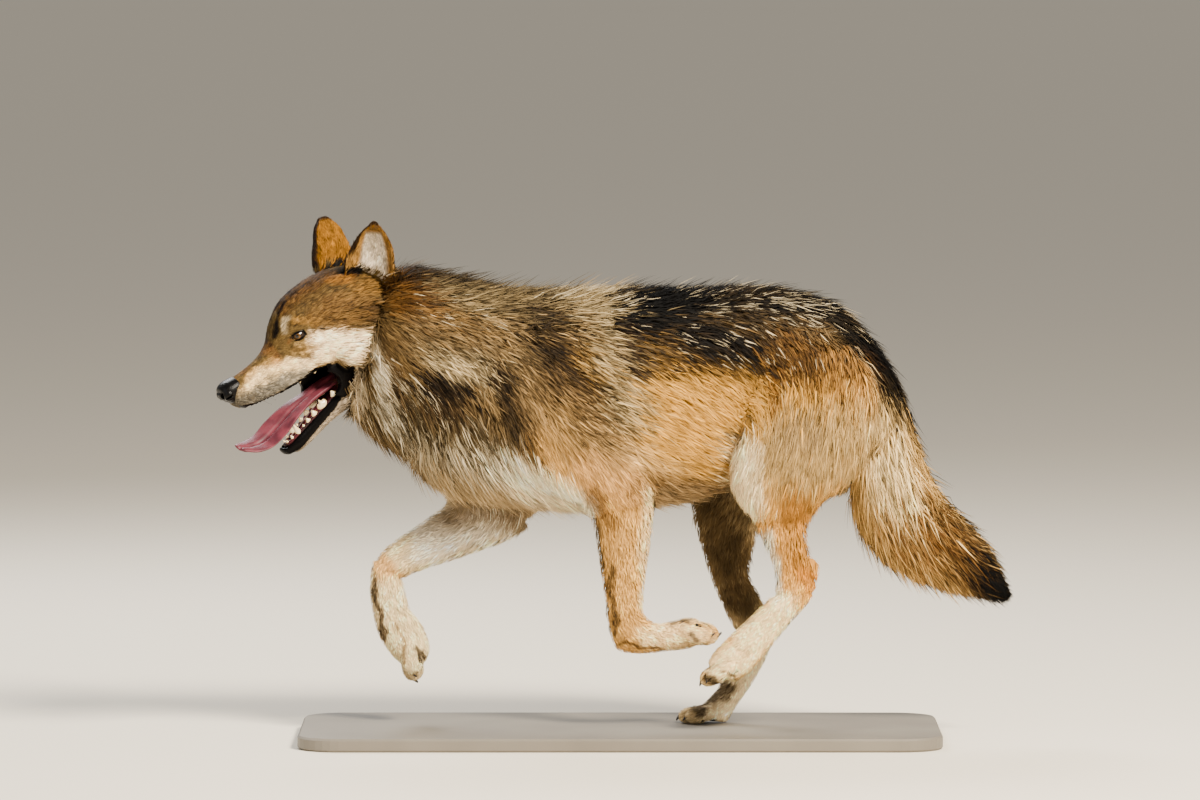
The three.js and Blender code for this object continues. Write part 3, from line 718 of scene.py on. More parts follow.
# The sections of the solids, out to the coat's tips: [x, z] of the front or top and of the back or
# underside, side, half width.
SOLID_ROWS = {
    "trunk": [
        [-282, 616, -300, 440, 0, 50],
        [-248, 664, -294, 400, 0, 78],
        [-195, 686, -258, 367, 0, 98],
        [-135, 684, -165, 353, 0, 108],
        [-75, 683, -87, 343, 0, 113],
        [-15, 686, -15, 341, 0, 114],
        [60, 684, 60, 350, 0, 110],
        [135, 684, 120, 362, 0, 100],
        [202, 686, 172, 390, 0, 92],
        [270, 677, 232, 413, 0, 92],
        [330, 653, 292, 418, 0, 88],
        [380, 598, 342, 420, 0, 72],
        [412, 546, 382, 430, 0, 46],
    ],
    "neck": [
        [-350, 640, -397, 497, -10, 38],
        [-342, 692, -385, 474, -8, 66],
        [-305, 715, -360, 448, -4, 90],
        [-255, 702, -315, 422, 0, 98],
        [-202, 689, -262, 396, 0, 102],
        [-150, 680, -195, 386, 0, 98],
    ],
    "tail": [
        [372, 596, 350, 500, 0, 34],
        [428, 528, 352, 440, 0, 37],
        [442, 470, 344, 372, 0, 40],
        [460, 418, 356, 316, 0, 41],
        [486, 368, 398, 268, 0, 37],
        [524, 326, 455, 242, 0, 31],
        [549, 288, 507, 228, 0, 22],
        [566, 255, 545, 221, 0, 13],
        [578, 230, 568, 216, 0, 6],
    ],
    "foreleg_left_upper": [
        [-172, 593, -68, 623, -84, 20],
        [-202, 518, -30, 548, -88, 30],
        [-184, 450, 8, 473, -86, 36],
        [-112, 390, 36, 428, -80, 35],
        [-52, 362, 46, 390, -74, 30],
    ],
    "foreleg_left_lower": [
        [-57, 362, 48, 400, -74, 28],
        [-42, 330, 50, 348, -70, 25],
        [-34, 286, 45, 293, -65, 22],
        [-27, 240, 38, 244, -60, 19],
        [-21, 196, 35, 203, -57, 17.5],
        [-18, 168, 37, 186, -55, 18.5],
    ],
    "foreleg_left_paw": [
        [-15, 158, 36, 194, -55, 18],
        [-3, 138, 45, 184, -53, 18],
        [32, 133, 58, 179, -49, 17],
        [70, 136, 76, 182, -45, 19],
        [98, 139, 98, 187, -42, 23],
        [112, 143, 114, 186, -41, 24],
    ],
    "foreleg_right_upper": [
        [-222, 520, -90, 520, 78, 26],
        [-248, 446, -76, 436, 82, 32],
        [-262, 384, -100, 372, 78, 32],
        [-258, 352, -142, 326, 74, 30],
    ],
    "foreleg_right_lower": [
        [-240, 372, -136, 312, 74, 28],
        [-256, 352, -172, 292, 70, 26],
        [-285, 333, -213, 277, 64, 23],
        [-315, 312, -255, 263, 58, 20.5],
        [-342, 294, -292, 252, 53, 18.5],
        [-362, 276, -323, 240, 50, 18.5],
    ],
    "foreleg_right_paw": [
        [-374, 264, -328, 234, 50, 18],
        [-378, 226, -323, 218, 48, 17.5],
        [-374, 188, -316, 192, 46, 17],
        [-364, 152, -298, 168, 45, 20],
        [-347, 125, -286, 137, 44, 23],
        [-334, 113, -290, 118, 44, 23],
    ],
    "hindleg_left_upper": [
        [232, 606, 360, 592, -66, 28],
        [197, 533, 388, 533, -77, 36],
        [172, 458, 380, 466, -81, 40],
        [162, 400, 358, 410, -81, 37],
        [178, 360, 296, 366, -78, 32],
    ],
    "hindleg_left_lower": [
        [184, 372, 312, 388, -78, 30],
        [206, 316, 281, 328, -73, 24],
        [224, 278, 284, 288, -68, 18],
        [231, 248, 290, 262, -67, 15.5],
        [231, 226, 296, 240, -68, 15.5],
    ],
    "hindleg_left_paw": [
        [223, 218, 291, 222, -69, 15.5],
        [188, 185, 254, 180, -74, 14],
        [158, 158, 220, 138, -80, 15],
        [139, 138, 196, 110, -84, 19],
        [131, 126, 176, 96, -86, 21],
    ],
    "hindleg_right_upper": [
        [232, 596, 360, 596, 66, 28],
        [182, 526, 372, 526, 77, 36],
        [126, 450, 366, 458, 81, 40],
        [106, 384, 352, 376, 79, 36],
    ],
    "hindleg_right_lower": [
        [104, 368, 310, 366, 79, 33],
        [110, 326, 222, 318, 75, 28],
        [122, 286, 207, 286, 69, 22],
        [135, 240, 197, 245, 62, 17],
        [153, 198, 217, 204, 56, 15.5],
        [170, 164, 234, 176, 53, 15.5],
    ],
    "hindleg_right_paw": [
        [174, 146, 234, 160, 52, 15],
        [162, 102, 222, 120, 47, 14],
        [146, 70, 200, 80, 43, 15],
        [125, 48, 176, 45, 41, 19],
        [114, 42, 164, 24, 40, 21],
    ],
}
# Toes: place of the foot's middle, direction, spread, and size, as the solids have them.
TOES = {
    "foreleg_left": [(120, -41, 163), (1, 0, -0.12), 13, (20, 8, 15.5)],
    "foreleg_right": [(-313, 44, 110), (0.12, 0, -1), 13, (18, 8, 15.5)],
    "hindleg_left": [(143, -86, 106), (-1, 0, -0.5), 12.5, (18, 7.8, 12.5)],
    "hindleg_right": [(114, 40, 32.5), (-1, 0, -0.1), 12.5, (18, 7.8, 11)],
}
# Each toe's place in toe widths from the foot's middle, and how far ahead of it the toe ends.
TOE_SLOTS = ((-1.5, -3), (-0.5, 7), (0.5, 7), (1.5, -3))
# Knobs of bone, sinews and pads under the short hair: centre, radii, tilt.
KNOBS = [
    [(0, -57, 194), (19, 15, 15), 0],
    [(-350, 50, 256), (15, 14, 16), 30],
    [(284, -67, 262), (12, 9, 16), 0],
    [(262, -67, 250), (18, 12, 18), 0],
    [(228, 53, 180), (12, 9, 16), -10],
    [(204, 54, 180), (18, 12, 18), 0],
]


def inset_rows(name, rows):
    """A solid's sections taken in by the depth of the coat there."""
    rows = np.array(rows, float)
    number = FLESH.index(name)
    middle = (rows[:, [0, 1]] + rows[:, [2, 3]]) / 2
    ends = [np.column_stack([rows[:, i], rows[:, 4], rows[:, i + 1]]) for i in (0, 2)]
    side = np.column_stack([middle[:, 0], rows[:, 4] + rows[:, 5], middle[:, 1]])
    depth = [coat_fields(p, np.full(len(p), number))[:, 4] for p in (*ends, side)]
    across = unit(rows[:, [0, 1]] - rows[:, [2, 3]])
    inset = rows.copy()
    inset[:, [0, 1]] -= across * depth[0][:, None]
    inset[:, [2, 3]] += across * depth[1][:, None]
    inset[:, 5] -= depth[2]
    return inset.tolist()


def toe_gaps(points, leg):
    """1 in the three clefts between a foot's toes, fading to 0 within about two millimetres."""
    (x, y, z), (ax, _, az), across, _ = TOES[leg]
    ahead = (points[:, 0] - x) * ax + (points[:, 2] - z) * az
    off = np.abs(points[:, 1] - y)
    gap = np.minimum(off, np.abs(off - across))
    return np.exp(-((gap / 1.9) ** 2)) * np.clip((ahead + 10) / 8, 0, 1) * np.clip((34 - ahead) / 6, 0, 1)


def toe_balls(leg):
    """Balls that swell a foot's toes and the knuckles behind them."""
    (x, y, z), (ax, _, az), across, size = TOES[leg]
    way = Vector((ax, 0, az)).normalized()
    balls = []
    for slot, lead in TOE_SLOTS:
        centre = Vector((x, y + slot * across, z)) + way * lead
        tilt = np.degrees(np.arctan2(-az, ax))
        balls.append(ball("toe", centre, size, tilt=tilt))
        knuckle = centre - way * 14 + Vector((-way.z, 0, way.x)) * (2 if ax > 0 else -2)
        balls.append(ball("knuckle", knuckle, (15, 7, size[2] * 0.9), tilt=tilt))
    return balls


def body_skin(voxel, triangles):
    """The bare trunk, neck, tail and legs: tubes inside the solids, made one and smoothed."""
    pieces = []
    for name, rows in SOLID_ROWS.items():
        square = 0.94 if name == "trunk" else 1
        caps = (12, 12) if name.endswith(("upper", "lower")) else (9, 7)
        pieces.append(tube(name + "_form", inset_rows(name, rows), 48, 5, square, caps))
    for leg in TOES:
        pieces.extend(toe_balls(leg))
    for centre, radii, tilt in KNOBS:
        pieces.append(ball("knob", centre, radii, tilt=tilt))
    body = join("body_skin", pieces)
    remesh(body, voxel)
    pairs = edges(body.data)
    points = faired(coords(body.data), pairs, 8)
    thick = np.clip((points[:, 2] - 400) / 60, 0, 1)[:, None]  # 0 on the legs, whose tendons stay sharp
    set_coords(body.data, faired(points, pairs, 90, thick))
    out = normals(body.data)
    for leg, (middle, *_) in TOES.items():
        foot = np.linalg.norm(points - middle, axis=1) < 50
        points[foot] -= 2.6 * (toe_gaps(points[foot], leg)[:, None]) * out[foot]
    set_coords(body.data, np.where(thick > 0, coords(body.data), points))
    apply_modifier(body, "DECIMATE", ratio=triangles / (2 * len(body.data.polygons)))
    return body


# ---- Markings ----
# Soft strokes over a ground colour: two ends in the side view, radius, colour and strength. Most are the
# coat's own markings; the few noted below are painted shade.
BODY_STROKES = [
    [15, 510, 255, 480, 105, "#bf9c58", 0.95],
    [30, 608, 270, 593, 51, "#342b20", 0.72],
    [-30, 466, 52, 383, 39, "#cdb48c", 0.7],
    [30, 383, 142, 360, 30, "#8b7350", 0.75],
    [-12, 623, 8, 503, 38, "#a79a7f", 0.85],
    [-82, 672, -12, 660, 24, "#988c72", 0.8],
    [-270, 672, -120, 660, 27, "#8f8267", 0.85],
    [-338, 683, -292, 648, 32, "#6b5029", 0.85],
    [-285, 634, -180, 612, 22, "#94794c", 0.6],
    [-285, 608, -172, 593, 36, "#938367", 0.6],
    [-270, 568, -210, 562, 22, "#b8ab90", 0.85],
    [-325, 712, -60, 694, 15, "#40382b", 0.75],
    [-112, 630, -90, 563, 36, "#332a1f", 0.75],
    [-90, 563, -52, 522, 27, "#33291d", 0.82],
    [-180, 552, -162, 508, 18, "#3a3024", 0.85],
    [-162, 508, -135, 432, 24, "#40372a", 0.8],
    [-98, 510, -30, 440, 50, "#8f7b5c", 0.8],
    [-45, 408, 8, 388, 30, "#c4a274", 0.8],
    [-52, 378, -25, 373, 7, "#4a3a26", 0.6],
    [-188, 418, -57, 348, 28, "#f2e6d2", 0.95],
    [-248, 418, -192, 406, 18, "#e6dccb", 0.7],
    [-330, 488, -225, 450, 42, "#665d4a", 0.75],
    [-396, 560, -392, 500, 12, "#cfc2ac", 0.85],
    # painted shadow of the jaw on the neck, softening downwards in the next stroke
    [-297, 542, -228, 532, 18, "#221b15", 0.95],
    [-270, 504, -237, 496, 24, "#5a4c3a", 0.75],
    [-352, 618, -343, 590, 14, "#5d4e38", 0.5],
    [-369, 614, -365, 586, 8, "#cfc2aa", 0.5],
    [-362, 575, -346, 473, 10, "#dcd4c4", 0.85],
    [-335, 570, -325, 500, 8, "#5a4a36", 0.6],
    [-308, 432, -210, 424, 16, "#cfc6b4", 0.7],
    # painted shade low on the chest
    [-270, 388, -180, 360, 24, "#a8967a", 0.6],
    [27, 658, 105, 670, 36, "#0b0907", 1],
    [105, 674, 322, 666, 28, "#120e0b", 0.86],
    [3, 626, 57, 634, 16, "#0b0907", 1],
    [12, 622, 27, 552, 12, "#3a2c1e", 0.85],
    [105, 612, 190, 592, 21, "#1a1612", 0.9],
    [315, 652, 393, 582, 27, "#15110d", 0.85],
    [363, 600, 432, 508, 20, "#0e0b09", 0.95],
    [255, 582, 345, 552, 36, "#80643c", 0.7],
    [234, 558, 225, 504, 9, "#75552a", 0.75],
    [262, 436, 378, 450, 69, "#ab9874", 0.9],
    [255, 474, 278, 466, 27, "#94836a", 0.55],
    [183, 438, 188, 358, 27, "#e2d3b8", 0.9],
    [177, 468, 168, 450, 9, "#6b5a40", 0.6],
    [254, 378, 270, 293, 20, "#ab8549", 0.5],
    [384, 473, 405, 406, 21, "#d8c49c", 0.7],
]
LIMB_STROKES = {
    "tail": [
        [390, 466, 412, 360, 36, "#dbcaa6", 0.9],
        [390, 330, 465, 252, 21, "#7d613c", 0.65],
        [465, 330, 525, 263, 33, "#6f5128", 0.75],
        [424, 518, 465, 443, 14, "#1a1511", 0.95],
        [465, 443, 548, 282, 12, "#2a2119", 0.9],
        [543, 252, 591, 204, 30, "#090807", 1],
    ],
    "foreleg_left": [
        [45, 364, 39, 210, 12, "#e8d2ac", 0.85],
        [-40, 372, -12, 330, 12, "#7a5e3c", 0.55],
        [-14, 270, -6, 168, 5, "#493e31", 0.7],
        # painted shade along the near foreleg's front edge
        [-39, 330, -23, 170, 7, "#5a5143", 0.8],
        [50, 160, 120, 156, 20, "#ecd7b4", 0.8],
        [78, 182, 105, 187, 8, "#5c544a", 0.85],
        [104, 164, 116, 152, 4, "#5a5148", 0.7],
        [-8, 148, 87, 137, 3, "#4a3a28", 0.7],
    ],
    "foreleg_right": [
        [-285, 293, -180, 330, 33, "#ebe3d6", 0.95],
        # painted shadow from the chest on the upper far foreleg
        [-172, 360, -150, 330, 27, "#8a7a62", 0.6],
        [-363, 262, -342, 240, 20, "#dab583", 0.85],
        [-338, 210, -308, 120, 27, "#e9d9b8", 0.7],
        # painted shade along the far foreleg's front edge
        [-374, 240, -354, 150, 4, "#3a2c20", 0.8],
        [-338, 176, -321, 112, 2.5, "#a08a68", 0.6],
        [-311, 134, -298, 123, 3, "#3a3028", 0.75],
    ],
    "hindleg_left": [
        [262, 353, 274, 268, 22, "#a67f42", 0.7],
        [279, 252, 294, 226, 14, "#b98842", 0.8],
        [216, 308, 238, 208, 12, "#ece3d4", 0.9],
        [240, 196, 150, 108, 30, "#f0dcb8", 0.9],
        [128, 104, 165, 86, 5.5, "#2a2420", 0.85],
        [154, 111, 184, 97, 2.5, "#3a322a", 0.7],
    ],
    "hindleg_right": [
        # painted shadow: the body and the near thigh shade the upper far hind leg
        [120, 330, 188, 226, 45, "#6f6048", 0.85],
        [218, 136, 150, 38, 30, "#ecdcc0", 0.9],
        # painted shadow over the far hind paw's toes
        [118, 48, 158, 74, 15, "#40372c", 0.8],
    ],
}
# Where guard hairs have dark tips, or are pale: two ends in the side view, radius and share of the hairs.
DARK_TIPS = [
    [-338, 708, -90, 678, 24, 0.9],
    [-255, 630, -90, 586, 82, 0.62],
    [30, 660, 330, 660, 39, 0.8],
    [45, 593, 270, 586, 39, 0.6],
    [-330, 510, -210, 466, 60, 0.55],
    [345, 600, 432, 508, 24, 0.8],
    [240, 556, 390, 510, 54, 0.35],
    [-90, 570, -30, 500, 58, 0.6],
    [30, 390, 150, 360, 27, 0.35],
]
PALE_HAIRS = [
    [110, 674, 360, 640, 32, 0.27],
    [-90, 678, 0, 660, 21, 0.3],
    [-290, 660, -225, 650, 22, 0.2],
    [60, 606, 270, 590, 40, 0.16],
    [-345, 526, -225, 436, 45, 0.3],
]
# Strokes on the head, in its own frame, with three-dimensional ends and y counted outwards.
HEAD_STROKES = [
    [-41, 9, 84, 21, 19, 100, 24, "#6e5533", 0.8],
    [-18, 8, 100, -48, 6, 90, 8, "#4a3a24", 0.7],
    [-38, 22, 86, 33, 4, 105, 9, "#40301c", 0.6],
    [-7, 53, 58, 45, 63, 48, 24, "#7c6440", 0.75],
    [-28, 49, 20, 43, 63, -10, 22, "#f0dcc2", 0.95],
    [1, 60, -20, 38, 62, -26, 13, "#e6d4ba", 0.9],
    [-90, 31, -4, -25, 43, -2, 13, "#e6d2b4", 0.85],
    [-85, 31, 6, -155, 23, 1, 15, "#ddc8a4", 0.85],
    [-178, 20, -16, -72, 33, -19, 17, "#7b7872", 0.9],
    [-169, 21, 1, -151, 24, -15, 6, "#6f665a", 0.6],
    [-168, 0, 16, -92, 3, 42, 8, "#6f5838", 0.85],
    [-130, 7, 22, -84, 6, 50, 3.5, "#3a2b1c", 0.8],
    [-153, 16, 13, -98, 23, 24, 8, "#b89c70", 0.5],
    [-98, 10, 35, -96, 26, 20, 7, "#8a6238", 0.25],
    [-74, 30, 36, -95, 21, 29, 4, "#6a5030", 0.7],
    [-71, 24, 55, -58, 26, 65, 8, "#b9ae9a", 0.65],
    [-84, 13, 53, -72, 11, 69, 5, "#150e08", 0.95],
    [-72, 11, 69, -44, 9, 92, 5.5, "#1d140c", 0.9],
    [-44, 9, 92, -10, 10, 102, 6, "#33261a", 0.6],
    [-81, 0, 57, -65, 0, 75, 4.5, "#a8a49c", 0.8],
    [60, 29, 98, 83, 36, 99, 18, "#0f0b08", 1],
    [24, 38, 97, 43, 39, 92, 12, "#94703a", 0.8],
    [57, 51, 73, 97, 44, 54, 15, "#8d7040", 0.7],
    [-53, 38, 60, -31, 45, 56, 8, "#8f7446", 0.75],
    [-68, 42, 27, -43, 44, 16, 8, "#a8926c", 0.6],
    [-75, 28, 39, -68, 31, 40, 3, "#1d140c", 0.9],
    [-67, 29, 49, -45, 44, 51, 2.6, "#2a1f14", 0.6],
    [-48, 43, 46, -20, 51, 42, 2.6, "#2a1f14", 0.9],
    [-20, 51, 42, 8, 60, 34, 3.2, "#4a3a24", 0.8],
    [8, 60, 34, 42, 65, 26, 7, "#6b563a", 0.65],
    [54, 64, 36, 99, 41, -1, 13, "#4a3c2a", 0.7],
    [59, 60, -2, 76, 42, -27, 10, "#50452f", 0.6],
]
# Each part's ground colour.
GROUNDS = {
    "head": "#695a3c",
    "lower_jaw": "#a0968a",
    "ear": "#8e6b26",
    "neck": "#786749",
    "trunk": "#988565",
    "tail": "#c3a878",
    "foreleg_left": "#cfac74",
    "foreleg_right": "#dccbac",
    "hindleg_left": "#d8ae6e",
    "hindleg_right": "#cdbb9a",
}
# The inner side of the right legs, painted in shade where the body's shadow falls on it: its colour and the
# level it reaches down to.
INNER_SHADOW = {"foreleg_right": ("#665640", 300), "hindleg_right": ("#4a412f", 150)}
HAIR_BLACK = "#0d0b09"
HAIR_PALE = "#bbab8b"
EAR_RIM = "#2a1e14"
LINING = "#c8bfb4"
TONE, TINT = 1.42, (1.3, 1.235, 1.1)  # contrast and warmth of the whole coat
LOOKS = [*FLESH, "ear_cup"]  # whose colours a place on the skin has

# Directions and starts of the waves that `ripple` adds up.
WAVES = ((1, 0.3, 0.7, 0), (-0.6, 0.8, 0.9, 1.3), (0.4, -0.9, 1.3, 2.1), (1.7, 1.1, -0.5, 4))


def as_colour(text):
    """A hex colour as a linear array."""
    return np.array(linear(text))


def ripple(points, size):
    """Smooth wandering values between about -1 and 1 that change over `size` millimetres."""
    p = points * (2 * pi / size)
    total = np.zeros(len(points))
    for x, y, z, phase in WAVES:
        total += np.sin(p[:, 0] * x + p[:, 1] * y + p[:, 2] * z + phase)
    return total / 3


def shares(points, strokes, size):
    """How strongly each stroke covers each point. Strokes hold two ends of `size` numbers, then a radius."""
    for stroke in strokes:
        a, b = np.array(stroke[:size], float), np.array(stroke[size : 2 * size], float)
        way = b - a
        t = np.clip((points - a) @ way / max(way @ way, 1e-9), 0, 1)
        distance = np.linalg.norm(points - a - t[:, None] * way, axis=1)
        edge = np.clip(1.6 - 1.1 * distance / stroke[2 * size], 0, 1)
        yield stroke, edge * edge * (3 - 2 * edge)


def painted(colours, points, strokes, size, mix):
    """Lays strokes over colours. `mix` holds random numbers that break the edges up hair by hair, or None."""
    for number, (stroke, share) in enumerate(shares(points, strokes, size)):
        alpha = share * stroke[-1]
        if mix is not None:
            alpha = np.clip(alpha + 3.8 * alpha * (1 - alpha) * (np.roll(mix, 37 * number) - 0.5), 0, 1)
        colours += alpha[:, None] * (as_colour(stroke[-2]) - colours)


def ear_lining(points):
    """The hair inside the ears: long and white in the middle, tan along the front margin, dark at the tip."""
    both = [local(points, name) for name in ("ear_left", "ear_right")]
    nearer = np.abs(both[0][:, 1]) + np.abs(both[0][:, 0]) < np.abs(both[1][:, 1]) + np.abs(both[1][:, 0])
    p = np.where(nearer[:, None], both[0], both[1])
    reach = np.interp(p[:, 2], [0, 30, 57, 79, 93], [35, 34, 28, 19.5, 9])
    off = (p[:, 0] - 0.16 * reach) / reach
    tan = np.clip((np.abs(off) - 0.5) / 0.2, 0, 1)
    tan = np.maximum(tan, np.clip((p[:, 2] - 74) / 10, 0, 1))
    dark = np.clip((p[:, 2] - 84) / 7, 0, 1) * 0.8
    dark = np.maximum(dark, np.clip((-off - 0.86) / 0.1, 0, 1) * np.clip((p[:, 2] - 36) / 20, 0, 0.9))
    value = as_colour(LINING) + tan[:, None] * (as_colour("#9c8052") - as_colour(LINING))
    value += dark[:, None] * (as_colour(EAR_RIM) - value)
    return value, 0.4 * (1 - tan)


def mark_head(points, colours, mix):
    """Paints the head, and gives its share of dark tips: round the nose and from the eyes up."""
    p = local(points, "head")
    p[:, 1] = np.abs(p[:, 1])
    painted(colours, p, HEAD_STROKES, 3, mix)
    lips = np.clip((-95 - p[:, 0]) / 30, 0, 1) * np.clip((6 - p[:, 2]) / 12, 0, 1)
    crown = 0.42 * np.clip((p[:, 2] - 22) / 24, 0, 1) * np.clip((p[:, 0] + 90) / 50, 0, 1)
    return 0.52 * lips + crown


def mark_ear(points, name, colours):
    """Darkens an ear's rim, tip and foot."""
    p = local(points, name)
    front = p[:, 0] < 1
    rows = np.array(EAR_ROWS + EAR_TIPS[name])
    ahead, behind = (np.interp(p[:, 2], rows[:, i + 1], np.abs(rows[:, i] - 1)) for i in (0, 2))
    reach = np.where(front, ahead, behind)
    edge = np.clip((np.abs(p[:, 0] - 1) / reach - 0.89) / 0.1, 0, 1)
    rim = np.maximum(edge * np.where(front, 0.95, 0.5), np.clip((p[:, 2] - 89) / 6, 0, 1) * 0.9)
    low = 14 + 0.9 * np.clip(p[:, 0], -4, 40)
    rim = np.maximum(rim, np.clip((low - p[:, 2]) / 9, 0, 1) * 0.95)
    colours += rim[:, None] * (as_colour(EAR_RIM) - colours)


def mark_body(points, colours, mix):
    """Paints neck, trunk or thigh, and gives its shares of dark-tipped and of pale hairs."""
    side = points[:, [0, 2]]
    painted(colours, side, BODY_STROKES, 2, mix)
    dark, pale = (
        np.max([share * stroke[-1] for stroke, share in shares(side, strokes, 2)], axis=0)
        for strokes in (DARK_TIPS, PALE_HAIRS)
    )
    under = np.clip((400 - points[:, 2]) / 50, 0, 1) * (np.abs(points[:, 1]) < 70)
    colours += 0.5 * under[:, None] * (as_colour("#cdbfa6") - colours)
    return dark, pale


def mark_limb(points, limb, colours, mix):
    """Paints a leg or the tail, and a leg's inner side: its own pale colour on the left legs, painted shade
    on the right legs.
    """
    painted(colours, points[:, [0, 2]], LIMB_STROKES[limb], 2, mix)
    if "leg" in limb:
        inner = points[:, 1] * (-1 if limb.endswith("right") else 1)
        middle = np.interp(points[:, 2], [20, 150, 350, 500], [42, 50, 72, 82])
        # the right legs' inner sides take a painted shadow, the left legs their own pale colour
        colour, level = INNER_SHADOW.get(limb, ("#dacbb0", 0))
        share = np.clip((inner + middle) / 16 - 0.1, 0, 1) * np.clip((points[:, 2] - level) / 40, 0, 0.75)
        colours += share[:, None] * (as_colour(colour) - colours)


def markings(points, parts, mix=None):
    """The coat's colour at points, painted shade included, and the shares of dark-tipped and of pale hairs
    there.
    """
    colours = np.zeros((len(points), 3))
    dark, pale = np.zeros(len(points)), np.zeros(len(points))
    wander = np.column_stack([ripple(points, 90), ripple(points + 31, 90), ripple(points - 17, 90)])
    fine = np.column_stack([ripple(points + 7, 33), ripple(points - 47, 33), ripple(points + 61, 33)])
    bent = points + 6 * wander + 3 * fine
    for number, name in enumerate(LOOKS):
        chosen = parts == number
        if not chosen.any():
            continue
        here, blend = bent[chosen], None if mix is None else mix[chosen]
        limb = "ear" if name.startswith("ear") else name.rsplit("_", 1)[0] if "leg_" in name else name
        value = np.tile(as_colour(GROUNDS[limb]), (len(here), 1))
        share_dark = share_pale = 0
        if name == "head":
            share_dark = mark_head(here, value, blend)
        elif name == "ear_cup":
            value, share_pale = ear_lining(points[chosen])
        elif limb == "ear":
            mark_ear(points[chosen], name, value)
            share_dark = 0.12
        if limb in ("neck", "trunk") or name.endswith("_upper"):
            share_dark, share_pale = mark_body(here, value, blend)
        if limb in LIMB_STROKES:
            mark_limb(here, limb, value, blend)
        # painted shade in the clefts between the toes
        if name.endswith("_paw"):
            value += 0.5 * toe_gaps(points[chosen], limb)[:, None] * (as_colour("#4a3826") - value)
        if limb == "tail":
            share_dark = 0.35 + 0.25 * (here[:, 0] > 480)
        colours[chosen], dark[chosen], pale[chosen] = value, share_dark, share_pale
    return np.clip(colours, 0.001, 1) ** TONE * TINT, dark, pale


# ---- Coat ----


class Skin:
    """The finished skin's arrays, which every part of the coat grows from."""

    def __init__(self, obj):
        mesh = obj.data
        mesh.calc_loop_triangles()
        flat = np.empty(len(mesh.loop_triangles) * 3, dtype=np.int32)
        mesh.loop_triangles.foreach_get("vertices", flat)
        self.faces = flat.reshape(-1, 3)
        self.points = coords(mesh)
        self.normals = normals(mesh)
        self.parts = nearest_parts(self.points)
        pairs = edges(mesh)
        fields = coat_fields(self.points, self.parts)
        self.bare = bare_places(self.points, self.parts)
        self.looks = self.parts.copy()
        for name in ("ear_left", "ear_right"):
            ear = self.parts == FLESH.index(name)
            axis = np.array(FRAMES[name])[:3, :2]
            inside = local(self.points[ear], name)[:, :2] @ axis.T
            self.looks[np.flatnonzero(ear)[np.sum(inside * self.normals[ear], axis=1) < 0]] = len(FLESH)
        smooth = relaxed(fields, pairs, 24)
        flow = smooth[:, :3] - self.normals * np.sum(smooth[:, :3] * self.normals, axis=1, keepdims=True)
        self.flow = unit(flow)
        self.length, self.depth, self.width = smooth[:, 3], smooth[:, 4], smooth[:, 5]
        self.tree = search_tree(self.points)

    def nearest(self, points):
        """The skin's own point that lies nearest to each of the points."""
        return np.array([self.tree.find(p)[1] for p in points.tolist()])

    def onto(self, points):
        """Points moved onto the skin, with the skin's outward directions there."""
        index = self.nearest(points)
        out = self.normals[index]
        height = np.sum((points - self.points[index]) * out, axis=1, keepdims=True)
        return points - out * height, out


# The upper lip's edge in the head's frame: x, z and how far up the black skin shows.
LIP_LINE = [
    [-180, -24, 3],
    [-150, -30, 3],
    [-109, -30, 4],
    [-67, -25, 6],
    [-49, -20, 7],
    [-19, -27, 8],
    [-3, -33, 8],
    [8, -44, 4],
]


def bare_places(points, parts):
    """1 where the skin is naked: inside the mouth, on the lips, round the nose and on the lids' edges."""
    bare = np.zeros(len(points))
    head, jaw = parts == FLESH.index("head"), parts == FLESH.index("lower_jaw")
    p = local(points[head], "head")
    palate = np.array(PALATE_ROWS)
    roof, half = (np.interp(p[:, 0], palate[:, 0], palate[:, i]) for i in (1, 5))
    mouth = (p[:, 2] < roof + 2) & (np.abs(p[:, 1]) < half + 1.2) & (np.abs(p[:, 0] + 80) < 92)
    line = np.array(LIP_LINE)
    lip = p[:, 2] < np.interp(p[:, 0], line[:, 0], line[:, 1]) + np.interp(p[:, 0], line[:, 0], line[:, 2])
    lip &= (p[:, 0] < 8) & (np.abs(p[:, 1]) > 6)
    bare[head] = mouth | lip | (p[:, 0] < -184)
    q = local(points[jaw], "lower_jaw")
    bare[jaw] = (q[:, 2] > np.interp(q[:, 0], [-190, -100, -70, -45], [-2, 3, 9, 16])) | (q[:, 0] < -190)
    p = local(points, "head")
    corner = ((p[:, 0] + 28) / 36) ** 2 + ((p[:, 2] + 47) / 27) ** 2 < 1
    bare[corner & (np.abs(p[:, 1]) < 56)] = 1
    for side in (-1, 1):
        q = moved(points, eye_frame(side, LID_TURN).inverted())
        away = np.linalg.norm(q, axis=1)
        across, up = eye_opening(np.linspace(-pi, pi, 240), side)
        tree = search_tree(np.column_stack([across, up, across * 0]))
        close = np.flatnonzero((away < EYE["radius"] + 4) & (q[:, 0] > 0))
        gap = np.array([tree.find((q[i, 1], q[i, 2], 0))[2] for i in close])
        hidden = np.linalg.norm(q[close], axis=1) < EYE["radius"] + 0.9
        bare[close] = np.maximum(bare[close], (gap < 2.8) | hidden)
    return bare


TUFT_FACES = np.array([[4, 1, 2], [4, 2, 3], [4, 3, 1], [0, 2, 1], [0, 3, 2], [0, 1, 3]])
PATCH = 0.0015  # half a tuft's patch on the unwrap
PATCH_SHAPE = np.array([[0, -1], [-1, 0], [0, 0.35], [1, 0], [0, 1]]) * PATCH
UNWRAP_TRIANGLES = 5000  # a coarse copy of a region unwraps quickly
TUFTS_PER_LOCK = 14


